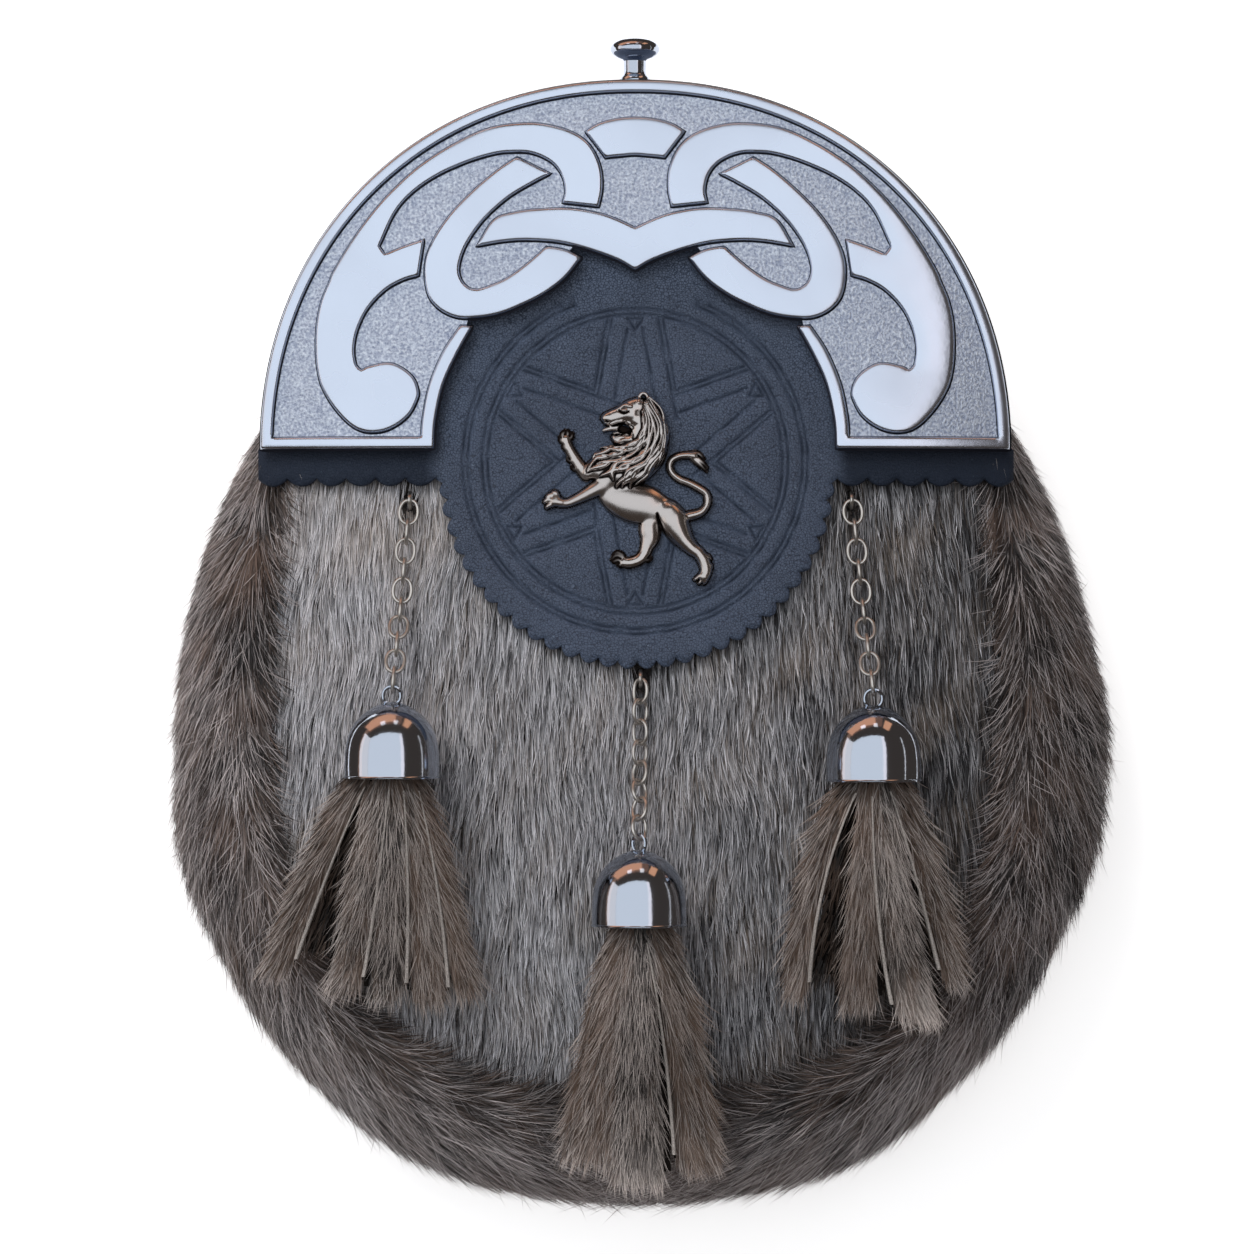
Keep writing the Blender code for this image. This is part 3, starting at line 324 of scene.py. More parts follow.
def rounded(outline, spacing, corner=40.0):
    """Closed outline drawn as a smooth curve; a turn sharper than the corner angle stays a corner.

    Between two points the curve is a cubic with the mean of the chords at each as its direction there.
    """
    p = np.asarray(outline, float)
    before, after = p - np.roll(p, 1, axis=0), np.roll(p, -1, axis=0) - p
    turn = np.arctan2(before[:, 0] * after[:, 1] - before[:, 1] * after[:, 0], (before * after).sum(1))
    hard = (np.abs(turn) > math.radians(corner))[:, None]
    leaving = np.where(hard, after, (before + after) / 2)
    coming = np.where(hard, before, (before + after) / 2)
    swell = outward(p, after)
    parts = []
    for i in range(len(p)):
        j = (i + 1) % len(p)
        steps = max(1, round(float(np.hypot(*after[i])) / spacing))
        t = (np.arange(steps) / steps)[:, None]
        parts.append((2 * t ** 3 - 3 * t ** 2 + 1) * p[i] + (t ** 3 - 2 * t ** 2 + t) * leaving[i]
                     + (3 * t ** 2 - 2 * t ** 3) * p[j] + (t ** 3 - t ** 2) * coming[j]
                     + 4.0 * BULGE * t * (1.0 - t) * swell[i])
    return np.concatenate(parts)


def inset_points(outline, distance):
    """Points at a distance inside an outline, without those that another run comes closer to."""
    moved = outline - outward(outline) * distance
    return moved[inside(moved, outline) & (rim_distance(moved, outline) > 0.94 * distance)]


def scatter_grid(outline, spacing, clearance):
    """Points of a hexagonal grid inside an outline, clear of its edge."""
    low, high = outline.min(0), outline.max(0)
    x, y = np.meshgrid(np.arange(low[0], high[0], spacing), np.arange(low[1], high[1], spacing * 0.866))
    x = x + (np.arange(len(x)) % 2)[:, None] * spacing / 2
    grid = np.stack((x, y), -1).reshape(-1, 2)
    grid = grid[inside(grid, outline)]
    return grid[rim_distance(grid, outline) > clearance]


def fill(outline, loose):
    """Delaunay triangles inside an outline, through loose points; the outline's points come first."""
    plan = [Vector(p) for p in np.concatenate((outline, loose)).tolist()]
    ring = [(i, (i + 1) % len(outline)) for i in range(len(outline))]
    flat, _, triangles, *_ = delaunay_2d_cdt(plan, ring, [], 0, 1e-5)
    xy, tri = np.array([tuple(p) for p in flat]), np.array(triangles)
    return xy, tri[inside(xy[tri].mean(1), outline)]


def shell(outline, loose, top, under, under_loose=np.zeros((0, 2))):
    """Closed sheet between two height functions, fine on top and plain underneath."""
    xy, tri = fill(outline, loose)
    low_xy, low_tri = fill(outline, under_loose)
    points = np.concatenate((np.column_stack((xy, top(xy))), np.column_stack((low_xy, under(low_xy)))))
    rim = np.arange(len(outline))[::int(winding(outline))]
    after = np.roll(rim, -1)
    walls = np.column_stack((rim + len(xy), after + len(xy), after, rim))
    return points, tri.tolist() + (low_tri[:, ::-1] + len(xy)).tolist() + walls.tolist()


def superellipse(x, y, half_width, half_height, power, first, last, count):
    """Points of a superellipse round (x, y), between two angles in degrees."""
    t = np.radians(np.linspace(first, last, count))
    c, s = np.cos(t), np.sin(t)
    return np.stack((x + half_width * np.sign(c) * np.abs(c) ** (2.0 / power),
                     y + half_height * np.sign(s) * np.abs(s) ** (2.0 / power)), axis=1)

# %% [markdown]
# ## Finishes
# An effect that several finishes share is a shader node group: the colour along a hair, painted darker
# at its root as shade, the pebble grain of leather, the fine speckle of a cast or blasted face, and the
# dark patina that polishing leaves in the recesses.  Each material places the group with its own values
# and keeps its own shader.

# %% Node helpers


def feed(tree, socket, value):
    """Link an input to a socket or set it to a plain value; a colour may leave out its alpha."""
    if isinstance(value, bpy.types.NodeSocket):
        tree.links.new(value, socket)
    elif socket.type == "RGBA":
        socket.default_value = (*value, 1.0)[:4]
    else:
        socket.default_value = value


def add(tree, kind, inputs=None, **settings):
    """New node with its inputs fed and its settings made."""
    node = tree.nodes.new(kind)
    for key, value in settings.items():
        setattr(node, key, value)
    for key, value in (inputs or {}).items():
        feed(tree, node.inputs[key], value)
    return node


def maths(tree, operation, a, b=0.0):
    return add(tree, "ShaderNodeMath", {0: a, 1: b}, operation=operation).outputs[0]


def mixed(tree, share, a, b):
    """Colour a where share is 0 and b where it is 1."""
    return add(tree, "ShaderNodeMix", {0: share, 6: a, 7: b}, data_type="RGBA", clamp_factor=True).outputs[2]


def spread(tree, value, low, high, to_low=0.0, to_high=1.0):
    """Value carried from one range to another, held at its ends."""
    node = add(tree, "ShaderNodeMapRange", {"Value": value, "From Min": low, "From Max": high,
                                            "To Min": to_low, "To Max": to_high}, clamp=True)
    return node.outputs["Result"]


def noise(tree, scale, detail=2.0, roughness=0.5):
    """Soft noise over the object's own coordinates."""
    place = add(tree, "ShaderNodeTexCoord").outputs["Object"]
    return add(tree, "ShaderNodeTexNoise", {"Vector": place, "Scale": scale, "Detail": detail,
                                            "Roughness": roughness}).outputs["Fac"]


def attribute(tree, name):
    """A number that the piece stores for each point."""
    return add(tree, "ShaderNodeAttribute", attribute_name=name).outputs["Fac"]


def group(name, inputs, outputs, build):
    """Shader node group with named sockets; build gets its tree and returns the output sockets."""
    tree = bpy.data.node_groups.new(name, "ShaderNodeTree")
    for socket, kind, value in inputs:
        tree.interface.new_socket(socket, in_out="INPUT", socket_type=kind).default_value = value
    for socket, kind in outputs:
        tree.interface.new_socket(socket, in_out="OUTPUT", socket_type=kind)
    source, sink = tree.nodes.new("NodeGroupInput"), tree.nodes.new("NodeGroupOutput")
    for socket, result in zip((s for s, _ in outputs), build(tree, source.outputs)):
        tree.links.new(result, sink.inputs[socket])
    return tree


def place_group(tree, made, **inputs):
    """Copy of a node group in a material; returns its outputs."""
    node = tree.nodes.new("ShaderNodeGroup")
    node.node_tree = made
    for key, value in inputs.items():
        feed(tree, node.inputs[key], value)
    return node.outputs


def finish(name, **values):
    """Material with its shader's plain values; its tree and the shader's inputs are returned too."""
    made = bpy.data.materials.new(name)
    made.use_nodes = True
    inputs = made.node_tree.nodes["Principled BSDF"].inputs
    for key, value in values.items():
        feed(made.node_tree, inputs[key.replace("_", " ")], value)
    return made, made.node_tree, inputs


def bump(tree, inputs, height, distance, strength=1.0):
    """Fine relief from a height value; the distance is in metres."""
    node = add(tree, "ShaderNodeBump", {"Height": height, "Distance": distance, "Strength": strength})
    feed(tree, inputs["Normal"], node.outputs[0])


# %% Shared effects


def build_hair(tree, source):
    """Colour of a hair: its own tone between dark and light, warmer by its warmth, and painted shade at its
    root.
    """
    # painted shade: the hair darkens towards its root, where the hairs over it would shade it
    root = spread(tree, attribute(tree, "along"), 0.0, 0.7, 0.16, 1.0)
    tone = maths(tree, "MULTIPLY", attribute(tree, "tone"), root)
    plain = mixed(tree, tone, source["Dark"], source["Light"])
    return (mixed(tree, maths(tree, "MULTIPLY", attribute(tree, "warmth"), 0.6), plain, source["Warm"]),)


def build_grain(tree, source):
    """Pebbles of leather: cells with sunk edges under fine wrinkles; height, and a mask of the creases."""
    place = add(tree, "ShaderNodeTexCoord").outputs["Object"]
    wander = add(tree, "ShaderNodeTexNoise", {"Vector": place, "Scale": 260.0, "Detail": 2.0})
    bent = add(tree, "ShaderNodeVectorMath", {0: wander.outputs["Color"], 1: (0.0012, 0.0012, 0.0012),
                                              2: place}, operation="MULTIPLY_ADD").outputs[0]
    cells = add(tree, "ShaderNodeTexVoronoi", {"Vector": bent, "Scale": source["Scale"]},
                feature="DISTANCE_TO_EDGE")
    edge = spread(tree, cells.outputs["Distance"], 0.0, 0.1)
    wrinkle = noise(tree, 1900.0, 3.0, 0.62)
    height = maths(tree, "ADD", maths(tree, "MULTIPLY", edge, 0.6), maths(tree, "MULTIPLY", wrinkle, 0.8))
    return height, maths(tree, "SUBTRACT", 1.0, edge)


def build_speckle(tree, source):
    """Fine blasted grain and slow cloudy change; both from 0 to 1."""
    fine = noise(tree, source["Scale"], 2.0, 0.6)
    return spread(tree, fine, 0.3, 0.7), spread(tree, noise(tree, 45.0, 3.0), 0.35, 0.65)


def build_patina(tree, source):
    """Dark tarnish in the recesses: the piece's own recess value, broken up by a little noise."""
    uneven = maths(tree, "MULTIPLY", maths(tree, "SUBTRACT", noise(tree, 900.0), 0.5), 0.25)
    mask = spread(tree, maths(tree, "ADD", attribute(tree, "recess"), uneven), 0.25, 0.8)
    return mixed(tree, mask, source["Bright"], source["Tarnish"]), mask


COLOUR, NUMBER = "NodeSocketColor", "NodeSocketFloat"
GREY = (0.5, 0.5, 0.5, 1.0)
hair_colour = group("hair_colour", [(socket, COLOUR, GREY) for socket in ("Dark", "Light", "Warm")],
                    [("Color", COLOUR)], build_hair)
leather_grain = group("leather_grain", [("Scale", NUMBER, 700.0)], [("Height", NUMBER), ("Crease", NUMBER)],
                      build_grain)
speckle = group("speckle", [("Scale", NUMBER, 2000.0)], [("Fine", NUMBER), ("Broad", NUMBER)], build_speckle)
patina = group("patina", [(socket, COLOUR, GREY) for socket in ("Bright", "Tarnish")],
               [("Color", COLOUR), ("Mask", NUMBER)], build_patina)

# %% Materials


def scaled(colour, factor, limit=1.0):
    """Paler colour of the same hue."""
    return tuple(min(factor * c, limit) for c in colour)


def hair_finish(name, dark, light, warm):
    """Hair between a dark and a light colour, with a warm one mixed in."""
    made, tree, inputs = finish(name, Roughness=0.52, Specular_IOR_Level=0.45)
    tint = place_group(tree, hair_colour, Dark=dark, Light=light, Warm=warm)
    feed(tree, inputs["Base Color"], tint["Color"])
    return made


def leather_finish(name, colour, crease, roughness, scale, shine=0.5, relief=0.00025):
    """Grained leather; a groove value darkens and dulls it: tool burnish in tooling, painted shade on the
    tabard's wings.
    """
    made, tree, inputs = finish(name)
    grain = place_group(tree, leather_grain, Scale=scale)
    cloud = place_group(tree, speckle, Scale=2400.0)
    groove = attribute(tree, "groove")
    scuffs = spread(tree, noise(tree, 1500.0, 3.0, 0.7), 0.66, 0.74, 0.0, 0.5)
    worn = mixed(tree, maths(tree, "MULTIPLY", cloud["Broad"], 0.5), colour, scaled(colour, 1.5))
    worn = mixed(tree, scuffs, worn, scaled(colour, 5.0, 0.6))
    dark = maths(tree, "MAXIMUM", maths(tree, "MULTIPLY", grain["Crease"], 0.7), groove)
    feed(tree, inputs["Base Color"], mixed(tree, dark, worn, crease))
    feed(tree, inputs["Specular IOR Level"], spread(tree, groove, 0.0, 1.0, shine, 0.05))
    feed(tree, inputs["Roughness"], spread(tree, cloud["Fine"], 0.0, 1.0, roughness - 0.06, roughness + 0.06))
    bump(tree, inputs, grain["Height"], relief, 0.7)
    return made


def polished_finish(name, bright, tarnish, roughness):
    """Polished metal with tarnish where the piece's recess value is high, and faint smears."""
    made, tree, inputs = finish(name, Metallic=1.0)
    tint = place_group(tree, patina, Bright=bright, Tarnish=tarnish)
    cloud = place_group(tree, speckle, Scale=700.0)
    smear = spread(tree, cloud["Broad"], 0.0, 1.0, roughness * 0.8, roughness * 1.25)
    feed(tree, inputs["Base Color"], tint["Color"])
    feed(tree, inputs["Roughness"], maths(tree, "ADD", smear, maths(tree, "MULTIPLY", tint["Mask"], 0.3)))
    bump(tree, inputs, cloud["Fine"], 0.00002, 0.35)
    return made


front_hair = hair_finish("front_hair", (0.015, 0.015, 0.018), (0.90, 0.905, 0.96), (0.62, 0.49, 0.38))
band_hair = hair_finish("band_hair", (0.009, 0.007, 0.007), (0.72, 0.66, 0.66), (0.24, 0.165, 0.13))
tassel_hair = hair_finish("tassel_hair", (0.010, 0.007, 0.006), (0.74, 0.66, 0.62), (0.26, 0.175, 0.13))
black_leather = leather_finish("black_leather", (0.068, 0.093, 0.147), (0.008, 0.011, 0.019), 0.46, 1900.0,
                               relief=0.0003)
raw_edge = leather_finish("raw_edge", (0.50, 0.46, 0.43), (0.30, 0.27, 0.25), 0.8, 1500.0)
# near-black pelt: painted shade where it shows in the gaps beside the cuts
tassel_pelt = leather_finish("tassel_pelt", (0.009, 0.007, 0.006), (0.004, 0.003, 0.003), 0.9, 1500.0, 0.1)
thread = leather_finish("thread", (0.012, 0.013, 0.016), (0.004, 0.004, 0.005), 0.6, 2500.0)
steel = polished_finish("cast_steel", (0.68, 0.75, 0.88), (0.03, 0.032, 0.045), 0.26)
silver = polished_finish("aged_silver", (0.575, 0.535, 0.515), (0.014, 0.010, 0.009), 0.24)
wire_metal = polished_finish("pewter_wire", (0.70, 0.67, 0.63), (0.03, 0.025, 0.02), 0.34)
dark_chrome = polished_finish("dark_chrome", (0.53, 0.58, 0.67), (0.03, 0.028, 0.028), 0.1)

# Skin under the fur, painted near-black as the shade under the hair, with a faint speckle
shaded_skin, tree, inputs = finish("shaded_skin", Roughness=0.9)
fuzz = place_group(tree, speckle, Scale=1500.0)["Fine"]
feed(tree, inputs["Base Color"], mixed(tree, fuzz, (0.018, 0.014, 0.013), (0.07, 0.06, 0.056)))
bump(tree, inputs, fuzz, 0.0004)

blasted, tree, inputs = finish("blasted_steel", Metallic=0.7)
grit = place_group(tree, speckle, Scale=1900.0)["Fine"]
pits = place_group(tree, patina, Bright=(0.34, 0.40, 0.56), Tarnish=(0.05, 0.05, 0.06))["Color"]
feed(tree, inputs["Base Color"], mixed(tree, grit, pits, (0.82, 0.89, 1.0)))
feed(tree, inputs["Roughness"], spread(tree, grit, 0.0, 1.0, 0.6, 0.38))
bump(tree, inputs, grit, 0.00012, 0.8)
print("finishes:", len(bpy.data.materials))

# %% [markdown]
# ## Hair
# A hair is a narrow ribbon of three or five triangles that tapers to a point.  It leaves its root along
# the flow of the coat, lifts off the skin and bends sideways, and every hair has its own tone.  Whole
# arrays hold all hairs of a piece at once.  Each hair also gets a cell of its own in a map, because
# neighbours overlap in space and must not share paint when the colours are baked.

# %% Hair as arrays


def hair(name, roots, flow, normals, length, width, material, slot, tone, warmth, stations, lift, sway, roll,
         seed, floor=None):
    """One mesh of tapered ribbons.

    A point at share s along a hair of length L is root + L s flow + lift s^0.8 normal + sway s^2 side,
    and the ribbon's half width there is half the width times (1 - s)^0.55.  No point goes below the
    floor, a height for each place.
    """
    draw = np.random.default_rng(seed)
    count = len(roots)
    flow = unit(flow - normals * (flow * normals).sum(1)[:, None])
    side = np.cross(flow, normals)
    turn = draw.normal(0.0, roll, count)[:, None]
    across = side * np.cos(turn) + normals * np.sin(turn)
    share = np.linspace(0.0, 1.0, stations)
    sway = sway + draw.normal(0.0, 0.05, count) * length
    rise = lift * draw.uniform(0.3, 1.7, count)
    rings = []
    for s in share:
        middle = (roots + flow * (length * s)[:, None] + normals * (rise * s ** 0.8)[:, None]
                  + side * (sway * s * s)[:, None])
        half = across * (0.5 * width * (1.0 - s) ** 0.55)[:, None]
        rings.append(np.stack((middle - half, middle + half), 1))
    points = np.concatenate(rings[:-1] + [rings[-1][:, :1]], 1)
    if floor is not None:
        points[..., 2] = np.maximum(points[..., 2], floor(points[..., 0], points[..., 1]))
    each = 2 * stations - 1
    tris = [tri for a in range(0, each - 3, 2) for tri in ((a, a + 1, a + 3), (a, a + 3, a + 2))]
    tris.append((each - 3, each - 2, each - 1))
    faces = (each * np.arange(count)[:, None, None] + np.array(tris)).reshape(-1, 3)
    made = piece(name, points.reshape(-1, 3), faces, material, slot)
    along = np.repeat(share, 2)[:each]
    point_value(made, "tone", np.repeat(np.clip(tone, 0.0, 1.0), each))
    point_value(made, "along", np.tile(along, count))
    point_value(made, "warmth", np.repeat(np.clip(warmth, 0.0, 1.0), each))
    cells = math.ceil(math.sqrt(count))
    row, column = np.divmod(np.arange(count), cells)
    corner_u, corner_v = np.append(np.tile((0.2, 0.8), stations - 1), 0.5), 0.15 + 0.7 * along
    uv = np.stack((column[:, None] + corner_u, row[:, None] + corner_v), -1).reshape(-1, 2) / cells
    uv = uv[faces.ravel()].ravel().astype(np.float32)
    made.data.uv_layers.new(name="OFBake").data.foreach_set("uv", uv)


def slopes(height, x, y, step=0.5):
    """Unit normals of a height function."""
    dx = (height(x + step, y) - height(x - step, y)) / (2 * step)
    dy = (height(x, y + step) - height(x, y - step)) / (2 * step)
    return unit(np.stack((-dx, -dy, np.ones(len(x))), 1))


# %% [markdown]
# ## Front panel
# The front is short-haired hide.  Its skin is a sheet on the front's height, a little below the CAD
# face, painted near-black as shade under the coat, and the coat over it lies almost flat and runs
# straight down.  The coat is palest at the upper left and turns brown-grey to the right, with streaks;
# a paler band down the middle is painted light, and the coat is painted darker along the seam as shade.

# %% Chains and holes

# hole x, y; bell's mouth x, y; links; first link's roll in degrees
CHAINS = {
    "left": ((-45.1, 24.2), (-48.2, -31.0), 10, 0.0),
    "right": ((43.0, 24.2), (46.9, -31.6), 10, 0.0),
    "centre": ((0.9, -11.4), (0.6, -60.1), 8, 45.0),
}
HOLE_RADIUS = 2.2
DISC_X, DISC_Y, DISC_RADIUS = 0.2, 30.1, 39.6
WING_TIP_Y = 27.0

# %% Hide and its short coat

SKIN_DROP = 1.3                 # skin below the top of the coat
HIDE_THICKNESS = 1.7
HOLE_DEPTH = 1.6
FRONT_HAIRS = 91000
COAT_X, COAT_Y = (-75.0, 75.0), (-98.0, 31.5)


def hole_distance(xy):
    """Distance to the nearest of the holes that the chains hang from."""
    return np.min([np.hypot(*(xy - hole).T) for hole, *_ in CHAINS.values()], 0)


outline, _ = seam_frame(even_angles(0.0, 2.0 * math.pi, 241)[:-1])
loose = scatter_grid(outline, 3.0, 1.2)
holes = np.concatenate([superellipse(*hole, HOLE_RADIUS + r, HOLE_RADIUS + r, 2.0, 0.0, 345.0, 24)
                        for hole, *_ in CHAINS.values() for r in (-0.3, 0.0, 0.5)])
loose = np.concatenate((loose[hole_distance(loose) > 4.0], holes))


def skin(xy):
    return front(*xy.T) - SKIN_DROP - HOLE_DEPTH * (hole_distance(xy) < HOLE_RADIUS - 0.1)


def skin_back(xy):
    return front(*xy.T) - SKIN_DROP - HIDE_THICKNESS


piece("front_skin", *shell(outline, loose, skin, skin_back, scatter_grid(outline, 6.0, 3.0)), shaded_skin,
      "hide", ["front_panel"])


def front_tone(x, y):
    """How pale the coat is: a slope from left to right, patches, streaks, a painted light band in the middle
    and painted shade at the seam.
    """
    # the exp term is painted light: a paler band down the middle of the coat
    slope = 0.50 - 0.0041 * x + 0.0010 * np.clip(y, -60.0, 20.0) + 0.14 * np.exp(-(x / 24.0) ** 2)
    patches = 0.05 * waves(x / 26.0, y / 40.0, 3) + 0.03 * waves(x / 9.0, y / 22.0, 4)
    streaks = 0.12 * waves(x / 2.6, y / 16.0, 5, 12) + 0.26 * waves(x / 1.0, y / 11.0, 6, 14)
    corner = 0.12 * ease(-x, 25.0, 55.0) * ease(y, -20.0, 12.0) - 0.06 * ease(x, 30.0, 60.0)
    corner += 0.09 * ease(-y, 45.0, 65.0) * ease(-x, -8.0, 12.0)
    corner -= 0.05 * ease(-x, 42.0, 60.0) * ease(-y, 0.0, 15.0)
    ratio = seam_ratio(x, y)
    # painted shade: darker along the seam, most at the bottom where the band's roll meets the coat
    edge = -0.22 * ease(ratio, 0.90, 1.0) - 0.3 * ease(-y, 55.0, 80.0) * ease(ratio, 0.84, 0.96)
    return slope + patches + streaks + corner + edge


def front_roots(count, seed):
    """Random places in the seam, outside the tabard's cover and the chains' holes."""
    draw = np.random.default_rng(seed)
    spots = np.column_stack((draw.uniform(*COAT_X, count), draw.uniform(*COAT_Y, count)))
    x, y = spots.T
    keep = seam_ratio(x, y) < 0.985
    keep &= (np.hypot(x - DISC_X, y - DISC_Y) > DISC_RADIUS - 3.5) & (y < WING_TIP_Y + 4.0)
    for (hole_x, hole_y), *_ in CHAINS.values():
        keep &= ~((np.abs(x - hole_x) < 1.9) & (y > hole_y - 1.8) & (y < hole_y + 5.5))
    return spots[keep]


spots = front_roots(FRONT_HAIRS, 11)
draw = np.random.default_rng(12)
x, y = spots.T
down = np.column_stack((0.10 * waves(x / 30.0, y / 30.0, 7) + 0.07 * waves(x / 5.0, y / 9.0, 8)
                        + draw.normal(0.0, 0.06, len(x)) + 0.0012 * x, -np.ones(len(x)), np.zeros(len(x))))
depth = draw.uniform(0.0, 1.0, len(x))
roots = np.column_stack((x, y, front(x, y) - SKIN_DROP + 0.9 * depth))
# painted shade: hairs rooted deeper in the coat get a darker tone, as the hairs over them shade them
tone = front_tone(x, y) + draw.normal(0.0, 0.24, len(x)) - 0.34 * (1.0 - depth) ** 2
warmth = (0.07 + 0.14 * waves(x / 18.0, y / 24.0, 9) + 0.25 * ease(y, 0.0, 25.0) * ease(-x, 0.0, 40.0)
          + draw.normal(0.0, 0.1, len(x)))
clump = 0.5 * waves(x / 1.6, y / 7.0, 10, 12)
normals = slopes(front, x, y)
for side, chosen in (("left", x < 0.0), ("right", x >= 0.0)):
    some = int(chosen.sum())
    length, width = draw.uniform(4.5, 8.0, some), draw.uniform(0.16, 0.29, some)
    hair(f"front_coat_{side}", roots[chosen], down[chosen], normals[chosen], length, width, front_hair,
         "hide", tone[chosen], warmth[chosen], 3, 0.55, clump[chosen], 0.45, 13)

# %% [markdown]
# ## Fur band
# Round the sides and the bottom runs a roll of long dark fur.  Its skin, painted near-black as shade,
# is a crescent section carried along the seam.  The hair leaves it down and outwards, and in the lower
# quarters it follows the roll until both flows meet under the middle tassel.  At the inner lip the hair
# is painted darker as shade.

# %% Band section

GUSSET_TOP_Y = 44.0
BULGE_FADE, BULGE_POWER = 72.6, 1.8
LIP_RISE, LIP_FADE = (2.7, -2.0), (5.0, 22.0)
BAND_OUTER = np.array((          # base, bulge, height, lip
    (0.4, 0.0, 1.00, 1.0), (2.4, 4.0, 0.99, 1.0), (2.4, 11.0, 0.91, 0.5), (2.4, 17.0, 0.72, 0.0),
    (2.4, 19.3, 0.48, 0.0), (2.4, 17.5, 0.24, 0.0), (2.4, 12.0, 0.06, 0.0), (2.4, 7.5, 0.0, 0.0),
))
BAND_INNER = np.array((
    (0.4, 6.4, 0.02, 0.0), (0.4, 6.4, 0.28, 0.0), (0.4, 12.5, 0.38, 0.0), (0.4, 13.3, 0.52, 0.0),
    (0.4, 10.5, 0.70, 0.0), (0.4, 5.0, 0.82, 0.0), (0.4, 0.0, 0.89, 0.0),
))
SKIN_INSET = 1.6
# share of the bulge that the band lacks, and the heights between which that comes and goes
CORNER_PINCH, CORNER_Y = 0.125, (-35.0, -62.0, -76.0, -94.0)
LEFT_PINCH, LEFT_Y = 0.10, (-52.0, -25.0)
RIGHT_PINCH, RIGHT_Y = 0.07, (-20.0, 4.0)
BAND_START = angle_at(GUSSET_TOP_Y)
BAND_HAIRS, GUARD_HAIRS = 63500, 16000


def bulge_share(y):
    """Share of the band's full bulge that is left at a height."""
    rise = np.maximum(np.asarray(y, float) - BODY_Y, 0.0)
    return np.clip(1.0 - (rise / BULGE_FADE) ** BULGE_POWER, 0.0, 1.0)


outer_rows = catmull(BAND_OUTER, 12)


def band_point(angle, course, drop=0.0):
    """Place on the band: an angle along the seam and a share from its inner lip (0) to its foot (1)."""
    plan, normal = seam_frame(angle)
    at = np.clip(course, 0.0, 1.0) * (len(outer_rows) - 1)
    base, bulge, height, lip = (np.interp(at, np.arange(len(outer_rows)), outer_rows[:, k]) for k in range(4))
    y = plan[..., 1]
    pinch = CORNER_PINCH * ease(-y, -CORNER_Y[0], -CORNER_Y[1]) * ease(y, CORNER_Y[3], CORNER_Y[2])
    left, right = LEFT_PINCH * ease(y, *LEFT_Y), RIGHT_PINCH * ease(y, *RIGHT_Y)
    pinch = pinch + np.where(plan[..., 0] < 0.0, left, right)
    share = bulge_share(y) * (1.0 - pinch)
    rise = LIP_RISE[0] + (LIP_RISE[1] - LIP_RISE[0]) * ease(y, *LIP_FADE)
    out = base + share * bulge - drop * ease(course, 0.0, 0.25)
    z = height * between(SEAM_HEIGHT, y) + lip * rise - drop * (1.0 - ease(course, 0.35, 0.7))
    return np.concatenate((plan + normal * out[..., None], z[..., None]), -1)


stations = even_angles(BAND_START, -math.pi - BAND_START, 121)
courses = np.linspace(0.0, 1.0, 29)
angle_grid, course_grid = np.meshgrid(stations, courses, indexing="ij")
top = band_point(angle_grid, course_grid, SKIN_INSET)
inner_rows = catmull(np.vstack((BAND_OUTER[-1:], BAND_INNER, BAND_OUTER[:1])), 4)[1:-1]
plan, normal = seam_frame(stations)
share = bulge_share(plan[:, 1])[:, None]
out = inner_rows[:, 0] + share * inner_rows[:, 1] - 0.2
z = inner_rows[:, 2] * between(SEAM_HEIGHT, plan[:, 1])[:, None] - 0.4 + 0.6 * (inner_rows[:, 2] < 0.05)
inner = np.concatenate((plan[:, None, :] + normal[:, None, :] * out[..., None], z[..., None]), 2)
ring = np.concatenate((top, inner), 1)
ring[..., 2] = np.maximum(ring[..., 2], 0.3)
piece("band_skin", ring.reshape(-1, 3), capped(*ring.shape[:2]), shaded_skin, "long_fur", ["gusset"])

# %% Long fur on the band


def over_hide(x, y):
    """Lowest height for hair: just over the short coat inside the seam, and the table outside it."""
    return np.where(seam_ratio(x, y) < 1.0, front(x, y) + 0.1, 0.15)


